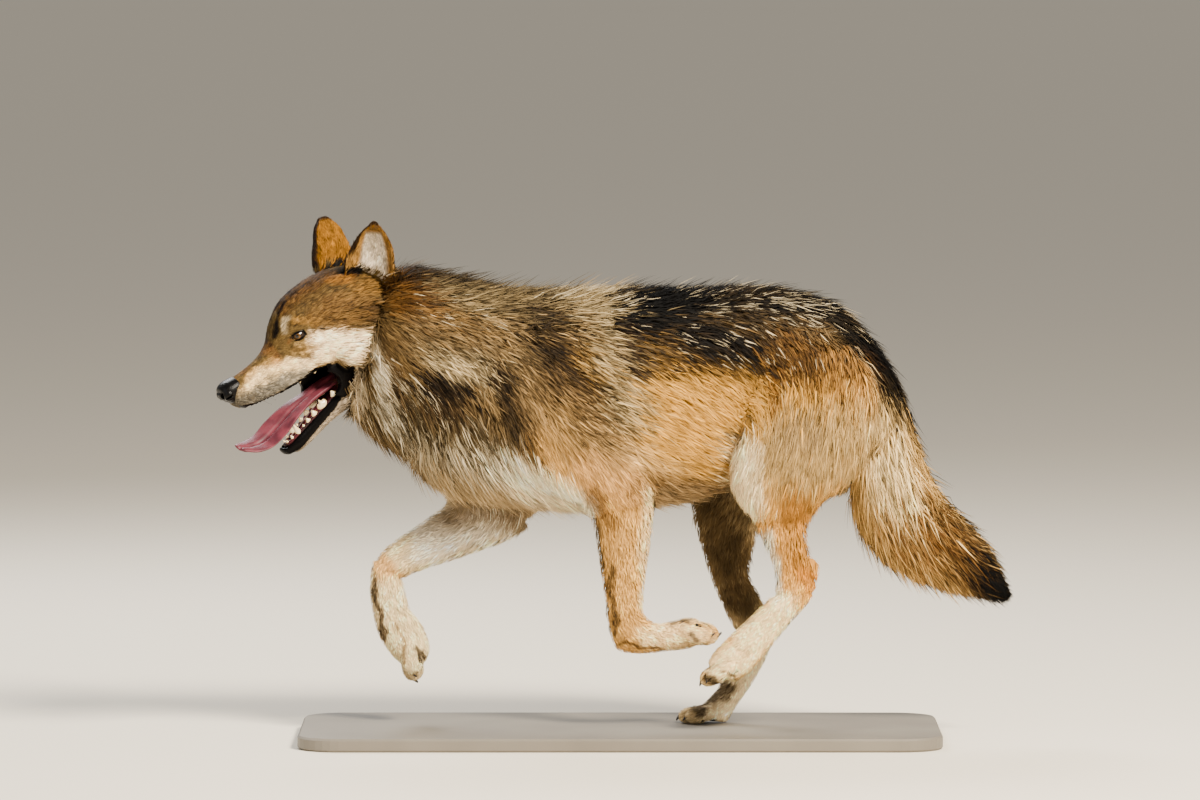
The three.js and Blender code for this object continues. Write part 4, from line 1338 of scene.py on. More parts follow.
def unwrapped(skin, faces, points):
    """Where points lie on an unwrap of a region of the skin."""
    used, corners = np.unique(faces, return_inverse=True)
    mesh = bpy.data.meshes.new("region")
    mesh.from_pydata((skin.points[used] * MM).tolist(), [], corners.reshape(-1, 3).tolist())
    region = bpy.data.objects.new("region", mesh)
    bpy.context.collection.objects.link(region)
    apply_modifier(region, "DECIMATE", ratio=min(1, UNWRAP_TRIANGLES / len(faces)))
    only(region)
    bpy.ops.object.mode_set(mode="EDIT")
    bpy.ops.mesh.select_all(action="SELECT")
    bpy.ops.uv.smart_project(angle_limit=radians(66), island_margin=0.004)
    bpy.ops.object.mode_set(mode="OBJECT")
    region.data.calc_loop_triangles()
    triangles = region.data.loop_triangles
    shape = coords(region.data)
    flat = np.empty(len(region.data.loops) * 2)
    region.data.uv_layers.active.data.foreach_get("uv", flat)
    places = flat.reshape(-1, 2)
    tree = BVHTree.FromPolygons(shape.tolist(), [list(t.vertices) for t in triangles])
    verts = np.array([t.vertices for t in triangles])
    loops = np.array([t.loops for t in triangles])
    hits = [tree.find_nearest(p) for p in points.tolist()]
    face = np.array([h[2] for h in hits])
    spot = np.array([h[0] for h in hits])
    # Each point's place in its nearest triangle, as shares of the three corners.
    a, b, c = (shape[verts[face, i]] for i in range(3))
    area = np.cross(b - a, c - a)
    size = np.maximum(np.sum(area * area, axis=1), 1e-12)
    v = np.sum(np.cross(spot - a, c - a) * area, axis=1) / size
    w = np.sum(np.cross(b - a, spot - a) * area, axis=1) / size
    weights = np.clip(np.column_stack([1 - v - w, v, w]), 0, 1)
    found = sum(places[loops[face, i]] * weights[:, i : i + 1] for i in range(3))
    bpy.data.objects.remove(region)
    return np.clip(found, 2 * PATCH, 1 - 2 * PATCH)


def grow(skin, name, chosen, count, seed, material, clump, strays):
    """One piece of the coat: `count` tufts rooted at random on the chosen faces of the skin, more where
    they are small. Each is a closed sliver: a root, a three-sided waist and a tip."""
    rng = np.random.default_rng(seed)
    faces = skin.faces[chosen]
    a, b, c = (skin.points[faces[:, i]] for i in range(3))
    area = np.linalg.norm(np.cross(b - a, c - a), axis=1)
    small = (1 / (skin.length * skin.width))[faces].mean(axis=1)
    weight = area * small * (1 - skin.bare[faces].max(axis=1))
    picked = np.sort(rng.choice(len(faces), count, p=weight / weight.sum()))
    spread = rng.dirichlet((1, 1, 1), count)
    corner = faces[picked]

    def at(values):
        return np.einsum("ij,ij...->i...", spread, values[corner])

    root, out, flow = at(skin.points), unit(at(skin.normals)), at(skin.flow)
    length = at(skin.length) * rng.uniform(0.72, 1.18, count)
    depth = at(skin.depth) * rng.uniform(0.7, 1.12, count)
    width = 0.8 * at(skin.width) * np.exp(rng.normal(0, 0.28, count))
    look = skin.looks[corner[:, 0]]
    stray = rng.random(count) < strays
    depth = np.where(stray, depth * rng.uniform(1.2, 1.9, count), depth)
    length = np.where(stray, length * rng.uniform(1, 1.2, count), length)
    side = np.cross(out, flow)
    sway = rng.normal(0, 0.13, (count, 1)) + 0.2 * ripple(root, 26)[:, None]
    flow = unit(flow + side * sway)
    middle, middle_out = skin.onto(root + flow * (0.45 * length)[:, None])
    end, end_out = skin.onto(root + flow * length[:, None])
    waist = middle + middle_out * (0.6 * depth)[:, None]
    tip = end + end_out * depth[:, None]
    tip[:, 2] -= 0.22 * np.clip(length - 22, 0, 40) * np.clip(0.45 - end_out[:, 2], 0, 1)

    leaders = rng.choice(count, max(count // TUFTS_PER_LOCK, 1), replace=False)
    tree = search_tree(tip[leaders])
    leader = leaders[[tree.find(p)[1] for p in tip.tolist()]]
    goal = tip[leader] + end_out[leader] * (rng.normal(0, 0.12, count) * depth)[leader][:, None]
    pull = clump * rng.uniform(0.5, 1.3, (count, 1)) * (1 - 0.7 * stray[:, None])
    tip += pull * (goal - tip)
    waist += 0.35 * pull * (goal - tip)

    way = unit(tip - root)
    side = unit(np.cross(out, way))
    ridge = unit(np.cross(way, side))
    half = (width / 2)[:, None]
    tuft = np.stack(
        [root - out * 0.6, waist + side * half, waist + ridge * half * 0.55, waist - side * half, tip], axis=1
    )

    colours = tuft_colours(rng, leader, root, waist, tip, flow, length, look)
    return sliver_mesh(name, tuft, out, colours, unwrapped(skin, faces, root), material)


def tuft_colours(rng, leader, root, waist, tip, flow, length, look):
    """Colours for each tuft's five points, the root darker as painted shade deep in the coat. Tufts drawn to
    one leader share much of their luck, so that colours change lock by lock."""
    count = len(root)
    mix, odds, chance = 0.6 * rng.random((3, count)) + 0.4 * rng.random((3, count))[:, leader]
    drift = flow * (0.01 * length**2 * rng.normal(0, 1, count))[:, None]
    near, dark, pale = markings(waist + drift, look, mix)
    far, _, _ = markings(0.4 * waist + 0.6 * tip + drift, look, mix)
    is_pale = odds < pale
    is_dark = ~is_pale & (chance < dark)
    near[is_pale] += 0.5 * (as_colour(HAIR_PALE) - near[is_pale])
    far[is_pale] += 0.7 * (as_colour(HAIR_PALE) - far[is_pale])
    near[is_dark] *= 0.7
    # the tips are lighter, partly their own paler ends and partly painted light
    tips = far * 1.22
    tips[is_dark] = as_colour(HAIR_BLACK) * 0.4 + far[is_dark] * 0.12
    rough = np.interp(length, [8, 30], [1.7, 1])
    luck = rng.normal(0, 0.12, count) + rng.normal(0, 0.13, count)[leader]
    shade = np.exp(rough * luck + 0.12 * ripple(root, 38))[:, None]
    colours = np.ones((count, 5, 4))
    # the root is painted darker, as shade deep in the coat
    colours[:, 0, :3] = near * 0.5 * shade
    colours[:, 1:4, :3] = (near * shade)[:, None]
    colours[:, 4, :3] = tips * shade
    return np.clip(colours, 0, 1)


def sliver_mesh(name, tuft, out, colours, places, material):
    """Tufts as one mesh, lit mostly like the skin under them so that single slivers don't glint."""
    count = len(tuft)
    faces = (np.arange(count)[:, None, None] * 5 + TUFT_FACES[None]).reshape(-1, 3)
    mesh = bpy.data.meshes.new(name)
    mesh.vertices.add(count * 5)
    mesh.vertices.foreach_set("co", (tuft * MM).ravel())
    mesh.loops.add(len(faces) * 3)
    mesh.loops.foreach_set("vertex_index", faces.ravel())
    mesh.polygons.add(len(faces))
    mesh.polygons.foreach_set("loop_start", np.arange(len(faces)) * 3)
    mesh.update(calc_edges=True)
    colour = mesh.color_attributes.new("coat_colour", "FLOAT_COLOR", "POINT")
    colour.data.foreach_set("color", colours.ravel())
    unwrap = mesh.uv_layers.new(name="OFBake")
    patches = places[:, None] + PATCH_SHAPE[None]
    unwrap.data.foreach_set("uv", patches.reshape(-1, 2)[faces.ravel()].ravel())
    obj = bpy.data.objects.new(name, mesh)
    bpy.context.collection.objects.link(obj)
    finish_piece(obj, material)
    lit = unit(np.repeat(out, 5, axis=0) + 0.65 * normals(mesh))
    mesh.normals_split_custom_set_from_vertices(lit.tolist())
    return obj


def fur_material():
    """Guard hair: each tuft is streaked along its length into a few dry, slightly waxy hairs."""
    material, shader = new_material("guard_hair", {"Roughness": 0.7, "Specular IOR Level": 0.1})
    attribute = add_node(material, "ShaderNodeVertexColor", layer_name="coat_colour")
    place = add_node(material, "ShaderNodeUVMap", uv_map="OFBake")
    # Some five hairs across a tuft, drawn coarser than real ones so that they show.
    drawn = add_node(material, "ShaderNodeMapping", [(place, "UV", "Vector")], {"Scale": (1900, 240, 1)})
    hairs = add_node(
        material, "ShaderNodeTexNoise", [(drawn, "Vector", "Vector")], {"Scale": 1, "Detail": 1.5}
    )
    shade = add_node(
        material,
        "ShaderNodeMapRange",
        [(hairs, "Fac", "Value")],
        {"From Min": 0.3, "From Max": 0.7, "To Min": 0.68, "To Max": 1.3},
    )
    add_node(
        material,
        "ShaderNodeVectorMath",
        [(attribute, "Color", 0), (shade, "Result", 1)],
        feeds=[("Vector", shader, "Base Color")],
        operation="MULTIPLY",
    )
    add_node(
        material,
        "ShaderNodeBump",
        [(hairs, "Fac", "Height")],
        {"Strength": 0.4, "Distance": 0.0006},
        feeds=[("Normal", shader, "Normal")],
    )
    return material


def skin_material():
    """Hide under short underfur: matt and finely streaked, but wet and smooth where it is naked."""
    material, shader = new_material("hide_and_underfur", {"Specular IOR Level": 0.06})
    add_node(
        material, "ShaderNodeVertexColor", feeds=[("Color", shader, "Base Color")], layer_name="coat_colour"
    )
    wet = add_node(material, "ShaderNodeAttribute", attribute_name="naked")
    add_node(
        material,
        "ShaderNodeMapRange",
        [(wet, "Fac", "Value")],
        {"To Min": 0.85, "To Max": 0.3},
        feeds=[("Result", shader, "Roughness")],
    )
    place = add_node(material, "ShaderNodeTexCoord")
    # Underfur in strands of about a millimetre, coarser than real ones so that they show.
    hairs = add_node(
        material, "ShaderNodeTexNoise", [(place, "Object", "Vector")], {"Scale": 900, "Detail": 2}
    )
    add_node(
        material,
        "ShaderNodeBump",
        [(hairs, "Fac", "Height")],
        {"Strength": 0.35, "Distance": 0.0006},
        feeds=[("Normal", shader, "Normal")],
    )
    return material


BODY_TRIANGLES, HEAD_TRIANGLES = 70000, 100000
SKIN_SHADE = 0.85  # the skin under the coat is painted a little darker than the coat above it, as shade deep in the coat


def colour_skin(obj, skin):
    """Gives the skin the coat's colours, darkened as painted shade under the coat, and black or pink where it
    is naked.
    """
    colours, _, _ = markings(skin.points, skin.looks)
    colours *= SKIN_SHADE
    wet = skin.bare[:, None]
    naked = np.tile(as_colour("#040303"), (len(colours), 1))  # black lips and lids
    inside = skin.parts == FLESH.index("head")
    p = local(skin.points, "head")
    palate = inside & (np.abs(p[:, 2] + 13) < 8) & (np.abs(p[:, 0] + 90) < 65)
    palate &= np.abs(p[:, 1]) < np.interp(p[:, 0], [-160, -40], [10, 24])
    naked[palate] = as_colour("#5a2c31")
    q = local(skin.points, "lower_jaw")
    floor = (skin.parts == FLESH.index("lower_jaw")) & (q[:, 2] < 14) & (q[:, 2] > 5)
    floor &= (np.abs(q[:, 1]) < np.interp(q[:, 0], [-182, -30], [9, 27])) & (q[:, 0] > -182)
    naked[floor] = as_colour("#6e3238")
    colours = colours * (1 - wet) + naked * wet
    mesh = obj.data
    layer = mesh.color_attributes.new("coat_colour", "FLOAT_COLOR", "POINT")
    layer.data.foreach_set("color", np.column_stack([colours, np.ones(len(colours))]).ravel())
    damp = mesh.attributes.new("naked", "FLOAT", "POINT")
    damp.data.foreach_set("value", skin.bare.astype(np.float32))


def build_skin(settings):
    """The whole skin as one closed surface, coloured like the coat above it."""
    body = body_skin(settings.body_voxel / MM, BODY_TRIANGLES)
    skin = head_skin(settings.head_voxel / MM)
    skin.name = "skin"
    apply_modifier(skin, "DECIMATE", ratio=HEAD_TRIANGLES / (2 * len(skin.data.polygons)))
    boolean(skin, [lids(-1), lids(1), body], "UNION")
    colour_skin(skin, Skin(skin))
    finish_piece(skin, skin_material(), replaces=FLESH)


def regions(skin):
    """The coat's pieces: name, the skin's faces it grows on, then its shares of the settings' tufts,
    clumping and strays, and its slot."""
    part = skin.parts[skin.faces[:, 0]]
    middle = skin.points[skin.faces].mean(axis=1)

    def on(*names):
        return np.isin(part, [i for i, name in enumerate(FLESH) if name.startswith(names)])

    left = local(middle, "head")[:, 1] < 0
    yield "coat_head_left", on("head", "lower_jaw", "ear_left") & left, 0.85, 0.5, 0.3, "body_fur"
    yield "coat_head_right", on("head", "lower_jaw", "ear_right") & ~left, 0.85, 0.5, 0.3, "body_fur"
    yield "coat_neck", on("neck"), 1, 1.1, 1, "body_fur"
    left = middle[:, 1] < 0
    yield "coat_trunk_left", on("trunk") & left, 0.85, 1, 0.8, "body_fur"
    yield "coat_trunk_right", on("trunk") & ~left, 0.85, 1, 0.8, "body_fur"
    yield "coat_tail", on("tail"), 0.55, 1.1, 1, "body_fur"
    for leg in ("foreleg", "hindleg"):
        upper = on(f"{leg}_left_upper", f"{leg}_right_upper")
        yield f"coat_{leg}s_upper", upper, 0.7, 0.5, 0.3, "leg_fur"
        yield f"coat_{leg}s_lower", on(leg) & ~upper, 0.5, 0.3, 0.1, "leg_fur"


def build_coat(settings):
    """The coat's pieces, grown on the skin."""
    skin = Skin(bpy.data.objects["skin"])
    fur = fur_material()
    for number, (name, chosen, share, clump, strays, slot) in enumerate(regions(skin)):
        count, seed = int(settings.tufts * share), settings.seed + number
        grow(skin, name, chosen, count, seed, fur, settings.clump * clump, settings.strays * strays)


# ---- Eyes ----

def build_eye(name, iris):
    """A glassy eye with a raised cornea over its iris."""
    side = EARS[name][0]
    gaze = eye_frame(side, GAZE)
    eye, p, _, _ = sphere(f"eyeball_{name}", 64, 48)
    p = p[:, [2, 0, 1]] * EYE["radius"]  # the sphere's pole becomes the pupil
    away = np.hypot(p[:, 1], p[:, 2])
    front = p[:, 0] > 0
    p[:, 0] += np.where(front, 1.4 * np.clip(1 - (away / (iris + 0.6)) ** 2, 0, 1), 0)
    layer = eye.data.uv_layers.new(name="iris")
    flat = np.empty(len(eye.data.loops), dtype=np.int32)
    eye.data.loops.foreach_get("vertex_index", flat)
    seen = np.where(front[:, None], p[:, 1:], 2 * EYE["radius"]) / (2 * EYE["radius"]) + 0.5
    layer.data.foreach_set("uv", seen[flat].ravel())
    set_coords(eye.data, moved(p, gaze))
    face_out(eye)
    return eye


def eye_material(iris, pupil):
    """A live eye under its tear film: clear gloss over an amber iris painted darker as shade from the brow,
    with a black pupil and dark edge.
    """
    gloss = {"Roughness": 0.08, "IOR": 1.34, "Coat Weight": 0.3, "Coat Roughness": 0.03}
    material, shader = new_material("wet_eye", gloss)
    place = add_node(material, "ShaderNodeUVMap", uv_map="iris")
    away = add_node(
        material, "ShaderNodeVectorMath", [(place, "UV", 0)], {1: (0.5, 0.5, 0)}, operation="DISTANCE"
    )
    fibres = add_node(material, "ShaderNodeTexNoise", [(place, "UV", "Vector")], {"Scale": 55, "Detail": 3})
    uneven = add_node(
        material,
        "ShaderNodeMath",
        [(fibres, "Fac", 0), (away, "Value", 2)],
        {1: 0.05},
        operation="MULTIPLY_ADD",
    )
    full = 2 * EYE["radius"]
    # the iris's browns are darker than its own amber, as painted shade from the brow
    stops = (
        (pupil / full + 0.018, "#050403"),
        (pupil / full + 0.034, "#2a1a0a"),
        (pupil / full + 0.075, "#5e3f16"),
        (iris / full - 0.03, "#42290f"),
        (iris / full + 0.015, "#1c120a"),
        (iris / full + 0.06, "#2b211b"),
    )
    add_node(
        material,
        "ShaderNodeValToRGB",
        [(uneven, "Value", "Fac")],
        feeds=[("Color", shader, "Base Color")],
        stops=stops,
    )
    return material


# ---- Nose, mouth and whiskers ----

NOSE_ROWS = [
    [-193.5, 5, -191.5, -7, 0, 10],
    [-191, 13, -187, -13, 0, 16.5],
    [-182, 18, -178, -17, 0, 20],
    [-166, 19.5, -162, -13, 0, 20],
]
TONGUE_ROWS = [
    [-40, 22, -40, 12, 0, 13],
    [-69, 32, -69, 21, 0, 17],
    [-107, 42, -107, 31, 0, 18],
    [-141, 48, -141, 38, 0, 21.5],
    [-173, 48, -173, 39, 0, 24],
    [-205, 50, -205, 42.5, 0, 22],
    [-225, 61, -228, 54.5, 0, 19],
    [-237, 72, -241, 67, 0, 13],
]
# Gum arches: front, back, half width at the front and at the back, level.
ARCHES = {"upper": (-164, -26, 9, 28, -14), "lower": (-183, -62, 9, 22, 15)}
# Each tooth: place along the arch, height, half width, half thickness, cusps.
TEETH = [
    (0.475, 8, 3, 2.2, 1),
    (0.437, 9, 3.3, 2.4, 1),
    (0.39, 19, 4.8, 3.8, 1),
    (0.342, 7, 3.4, 2.4, 1),
    (0.3, 9.5, 5, 2.8, 2),
    (0.245, 11.5, 6, 3.2, 2),
    (0.165, 15.5, 9.5, 4.4, 3),
    (0.085, 10.5, 6.4, 4.2, 2),
]


def arch_curve(name):
    """A gum's arch through the mouth, and each of its points' share of the way along."""
    front, back, narrow, wide, level = ARCHES[name]
    middle = (narrow + wide) / 2 - 1
    half = [[back, wide], [(front + back) / 2, middle], [front + 12, narrow]]
    left = [[x, -y, level] for x, y in half]
    right = [[x, y, level] for x, y in reversed(half)]
    curve = spline(left + [[front, 0, level]] + right, 16)
    run = np.concatenate([[0], np.cumsum(np.linalg.norm(np.diff(curve, axis=0), axis=1))])
    return curve, run / run[-1]


def tooth(place, point, along, height, wide, deep, cusps, rise):
    """A rounded crown: a ball drawn out into one to three points that lean back."""
    crown, p, _, _ = sphere("crown", 20, 14)
    power, narrowing, thick, slim = (1.5, 0.85, 1.25, 0.95) if cusps == 1 else (3, 0.45, 1, 1)
    level = (p[:, 2] + 1) / 2
    peaks = 1 - 0.32 * (1 - np.abs(np.cos(p[:, 0] * pi * (cusps - 1) / 2)))
    taper = 1 - level**power * narrowing
    x = p[:, 0] * wide * taper * thick * slim
    y = p[:, 1] * deep * taper * thick
    z = (level * 1.12 - 0.18) * height * peaks
    canine = cusps == 1 and height > 12
    x += 0.16 * height * level**2 * (1 if canine else 0.3)
    turned = np.arctan2(along[1], along[0])
    if along[0] < 0:
        turned += pi
    px = point[0] + x * cos(turned) - y * sin(turned)
    py = point[1] + x * sin(turned) + y * cos(turned)
    set_coords(crown.data, moved(np.column_stack([px, py, point[2] + rise * z]), place))
    face_out(crown)
    return crown


def build_teeth(name, place, rise):
    """The gum's rail and its row of teeth."""
    curve, run = arch_curve(name)
    gum, _, ring, angle = sphere(f"gum_{name}", 14, len(curve) + 1)
    on_curve = np.clip(ring - 1, 0, len(curve) - 1)
    tangent = unit(np.gradient(curve, axis=0))
    out = np.column_stack([tangent[:, 1], -tangent[:, 0], tangent[:, 2] * 0])
    thick = np.where((ring == 0) | (ring == len(curve) + 1), 0, 3.5)
    points = curve[on_curve] + out[on_curve] * (np.cos(angle) * thick)[:, None]
    points[:, 2] += np.sin(angle) * thick
    set_coords(gum.data, moved(points, place))
    face_out(gum)
    crowns = []
    for at, height, wide, deep, cusps in TEETH:
        for t in (at, 1 - at):
            i = int(np.argmin(np.abs(run - t)))
            crowns.append(tooth(place, curve[i], tangent[i], height, wide, deep, cusps, rise))
    teeth = join(f"teeth_{name}", crowns)
    finish_piece(teeth, enamel_material(), [f"{name}_teeth"])
    finish_piece(gum, flesh_material("gum_flesh", "#43181d", "#120808", 0.4))


def build_tongue():
    """A wet tongue hanging over the near teeth, with a groove down its middle and raised edges."""
    tongue = tube("tongue_wet", TONGUE_ROWS, 64, 12, 0.9, (8, 5), Matrix())
    p = coords(tongue.data)
    centre = spline([[r[0], (r[1] + r[3]) / 2, r[5]] for r in TONGUE_ROWS], 12)
    order = np.argsort(centre[:, 0])
    level = np.interp(p[:, 0], centre[order, 0], centre[order, 1])
    half = np.interp(p[:, 0], centre[order, 0], centre[order, 2])
    across = np.clip(np.abs(p[:, 1]) / half, 0, 1)
    upper = np.clip((p[:, 2] - level) / 3, 0, 1)
    p[:, 2] -= upper * 4.2 * np.exp(-((p[:, 1] / 3.2) ** 2))
    p[:, 2] += 3 * across**3 * np.clip((p[:, 0] + 225) / 40, 0, 1)
    p[:, 2] += upper * 0.5 * np.sin(p[:, 0] / 11 + p[:, 1] / 8)
    twist = np.radians(15) * np.clip((-110 - p[:, 0]) / 70, 0, 1)
    y, z = p[:, 1].copy(), p[:, 2] - level
    p[:, 1] = y * np.cos(twist) - z * np.sin(twist)
    p[:, 2] = level + y * np.sin(twist) + z * np.cos(twist)
    set_coords(tongue.data, moved(p, TONGUE))
    face_out(tongue)
    finish_piece(tongue, flesh_material("wet_tongue", "#6c2f3a", "#4c1f29", 0.5), ["tongue"])


def build_nose():
    """The nose leather: a rounded pad with comma-shaped nostrils and a groove down its front."""
    nose = tube("nose_leather", NOSE_ROWS, 48, 8, 0.9, (3, 4), HEAD)
    wings = [ball("wing", (-184, s * 12, -1), (9, 8.5, 10), HEAD) for s in (-1, 1)]
    boolean(nose, wings, "UNION")
    holes = []
    for s in (-1, 1):
        holes.append(ball("hole", (-191, s * 8.8, 0.5), (7, 3.8, 4.8), HEAD))
        holes.append(ball("slit", (-187, s * 17.5, -3.5), (8, 5, 1.6), HEAD, -12))
    holes.append(ball("groove", (-194.5, 0, -8), (5, 0.9, 10), HEAD, -8))
    boolean(nose, holes, "DIFFERENCE")
    remesh(nose, 0.7)
    set_coords(nose.data, faired(coords(nose.data), edges(nose.data), 3))
    finish_piece(nose, leather_material(), ["nose"])


def build_whiskers():
    """Stiff black whiskers in three rows of four on each side of the muzzle."""
    rng = np.random.default_rng(5)
    hairs = []
    for side in (-1, 1):
        for row in range(3):
            for column in range(4):
                x = -172 + column * 11 + row * 3
                root = np.array([x, side * (17 + column * 2.3), -5 - row * 6.5])
                length = rng.uniform(16, 30)
                out = unit(np.array([0.85 + 0.1 * column, side * 0.55, -0.3 - 0.15 * row]))
                sag = np.array([0, 0, -0.2 * length])
                hairs.append(whisker([root + out * length * t + sag * t * t for t in (0, 0.35, 0.7, 1)]))
    whiskers = join("whiskers", hairs)
    finish_piece(whiskers, horn_material("whisker_bristle", "#1a1613"))


def whisker(points):
    """A tapering bristle through four points."""
    hair, p, ring, _ = sphere("whisker", 5, 5)
    centre = np.array([points[0], *points, points[-1]])[ring]
    thick = np.array([0, 0.34, 0.28, 0.2, 0.1, 0])[ring]
    flat = np.column_stack([p[:, 0] * 0, p[:, 0], p[:, 1]])
    set_coords(hair.data, moved(centre + unit(flat) * thick[:, None], HEAD))
    face_out(hair)
    return hair


# ---- Feet ----

FOOT_LEVEL = 20.4  # just above the base's top


def foot_frame(leg):
    """A foot's middle, the ways its toes and its sole face, and its toes' spread and size."""
    (x, y, z), (ax, _, az), across, size = TOES[leg]
    way = Vector((ax, 0, az)).normalized()
    sole = Vector((-way.z, 0, way.x))
    return Vector((x, y, z)), way, sole, across, size


def build_claws(leg):
    """Four blunt, curved claws of dark horn that leave the ends of the toes."""
    middle, way, sole, across, size = foot_frame(leg)
    claws = []
    for slot, lead in TOE_SLOTS:
        start = middle + Vector((0, slot * across, 0)) + way * (lead + size[0] - 5) - sole * 1.5
        rows = []
        for t, thick in ((0, 3.0), (0.35, 2.8), (0.7, 2.3), (1, 1.5)):
            spot = start + way * (9 * t) + sole * (5.5 * t * t)
            rows.append((spot, thick))
        claws.append(claw(rows, way, sole))
    obj = join(f"claws_{leg}", claws)
    clip_to_base(obj)
    nodes = [f"{leg}_claw_{number}" for number in range(1, 5)]
    finish_piece(obj, horn_material("claw_horn", "#2b2520"), nodes)


def claw(rows, way, sole):
    """One claw, whose rings lie round places with a thickness each."""
    obj, _, ring, around = sphere("claw", 12, len(rows) + 1)
    end = rows[-1][0] + (way + sole * 0.6) * 1.2
    spots = np.array([rows[0][0] - way * 2, *[r[0] for r in rows], end])
    thick = np.array([0, *[r[1] for r in rows], 0])
    points = spots[ring] + np.outer(np.sin(around) * thick[ring], np.array(sole))
    points[:, 1] += np.cos(around) * thick[ring] * 0.75
    set_coords(obj.data, points)
    face_out(obj)
    return obj


def clip_to_base(obj):
    """Flattens what would sink into the base."""
    p = coords(obj.data)
    p[:, 2] = np.maximum(p[:, 2], FOOT_LEVEL)
    set_coords(obj.data, p)


def build_pads(leg):
    """Rough dark pads: one under each toe and a broad one behind them."""
    middle, way, sole, across, size = foot_frame(leg)
    tilt = np.degrees(np.arctan2(-way.z, way.x))
    pads = []
    for slot, lead in TOE_SLOTS:
        spot = middle + Vector((0, slot * across, 0)) + way * (lead - 2) + sole * (size[2] - 4)
        pads.append(ball("pad", spot, (9, 6, 4.6), tilt=tilt))
    for side in (-1, 0, 1):
        spot = middle + Vector((0, side * 9, 0)) - way * (22 + 4 * abs(side)) + sole * (size[2] - 5)
        pads.append(ball("pad", spot, (9, 8, 5.5), tilt=tilt))
    obj = join(f"pads_{leg}", pads)
    clip_to_base(obj)
    finish_piece(obj, leather_material())


# ---- Finishes of the hard and naked pieces ----


def leather_material():
    """Nose leather: black, pebbled at about a millimetre and damp, so it shows soft broken highlights."""
    pebbles = (*CELLS, {"Scale": 700})
    sockets = {"Roughness": 0.3, "Specular IOR Level": 0.12}
    stops = ((0, "#0b0908"), (1, "#030303"))
    return patterned("damp_nose_leather", sockets, pebbles, stops, (*pebbles, 0.5, 0.0004), invert=True)


def flesh_material(name, light, dark, rough):
    """Wet flesh: soft and slightly see-through, with papillae of a millimetre and a coat of saliva."""
    sockets = {
        "Roughness": rough,
        "Subsurface Weight": 0.06,
        "Subsurface Radius": (0.006, 0.002, 0.001),
        "Specular IOR Level": 0.2,
        "Coat Weight": 0.06,
        "Coat Roughness": 0.3,
    }
    blotches = (*NOISE, {"Scale": 60, "Detail": 4})
    papillae = (*CELLS, {"Scale": 900}, 0.25, 0.0003)
    return patterned(name, sockets, blotches, ((0.35, dark), (0.62, light)), papillae)


def enamel_material():
    """Tooth enamel: cream, glossy and a little yellower in patches of 8 mm, as in a grown animal."""
    stain = (*NOISE, {"Scale": 120, "Detail": 2})
    return patterned(
        "tooth_enamel", {"Roughness": 0.22, "IOR": 1.62}, stain, ((0.3, "#cfae74"), (0.6, "#e8d5ac"))
    )


def horn_material(name, colour):
    """Keratin horn: dark, smooth and faintly mottled every 2 mm."""
    mottle = (*NOISE, {"Scale": 500, "Detail": 2})
    return patterned(name, {"Roughness": 0.38, "IOR": 1.54}, mottle, ((0, "#100d0b"), (1, colour)))


def paint_base():
    """Gives the flat base its satin paint: warm grey over board, rolled on with an orange peel of 2 mm."""
    cloud = (*NOISE, {"Scale": 7, "Detail": 3})
    peel = (*NOISE, {"Scale": 420, "Detail": 1}, 0.2, 0.0004)
    stops = ((0.3, "#6f685d"), (0.7, "#7b7468"))
    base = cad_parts["stand_base"]
    base.data.materials.clear()
    base.data.materials.append(patterned("satin_painted_board", {"Roughness": 0.5}, cloud, stops, peel))


# ---- Stage ----


def build_stage(settings):
    """A pale floor out to the horizon, soft lights and a long lens level with the wolf's belly."""
    floor, _ = primitive("circle", "floor", vertices=96, radius=160, fill_type="NGON")
    sockets = {"Base Color": (*settings.paper, 1), "Roughness": 0.95, "Specular IOR Level": 0.2}
    floor.data.materials.append(new_material("studio_floor", sockets)[0])  # matt paint without a pattern

    lights = (
        ("key", (2.4, -3.6, 4.2), 1.5, settings.key_power, "#fff4e2"),
        ("fill", (-3.4, -2.8, 1.8), 3.0, settings.fill_power, "#e6eefc"),
        ("rim", (-1.4, 2.6, 3.0), 1.8, settings.rim_power, "#ffffff"),
    )
    target = Vector((0, 0, 0.42))
    for name, place, size, power, colour in lights:
        bpy.ops.object.light_add(type="AREA", location=place)
        lamp = bpy.context.active_object
        lamp.name = name
        lamp.data.size = size
        lamp.data.energy = power
        lamp.data.color = linear(colour)
        lamp.rotation_euler = (target - Vector(place)).to_track_quat("-Z", "Y").to_euler()
    world = bpy.data.worlds.new("studio")
    bpy.context.scene.world = world
    world.use_nodes = True
    sky = world.node_tree.nodes["Background"]
    sky.inputs["Color"].default_value = rgba("#ece9e4")
    sky.inputs["Strength"].default_value = settings.sky

    distance, elevation = 12.0, radians(3.5)
    sensor, seen = 36, 1.8  # millimetres, and metres across at the wolf
    middle = Vector((-0.030, 0, 0.5105))
    place = middle + distance * Vector((0, -cos(elevation), sin(elevation)))
    bpy.ops.object.camera_add(location=place)
    camera = bpy.context.active_object
    camera.rotation_euler = (middle - place).to_track_quat("-Z", "Y").to_euler()
    camera.data.sensor_width = sensor
    camera.data.lens = sensor * distance / seen
    camera.data.clip_end = 400
    camera.data.dof.use_dof = False
    bpy.context.scene.camera = camera


# ---- Add-on ----


class WolfCoatSettings(bpy.types.PropertyGroup):
    tufts: IntProperty(
        name="Tufts per Piece",
        description="How many tufts grow on each large piece of the coat",
        default=32000,
        min=500,
        max=33000,
    )
    clump: FloatProperty(
        name="Clumping",
        description="How far tips are drawn together into locks",
        default=0.3,
        min=0,
        max=1,
        subtype="FACTOR",
    )
    strays: FloatProperty(
        name="Strays",
        description="Share of tufts that stand out of the coat",
        default=0.12,
        min=0,
        max=1,
        subtype="FACTOR",
    )
    seed: IntProperty(name="Seed", description="Start of the random numbers that place the tufts", default=11)


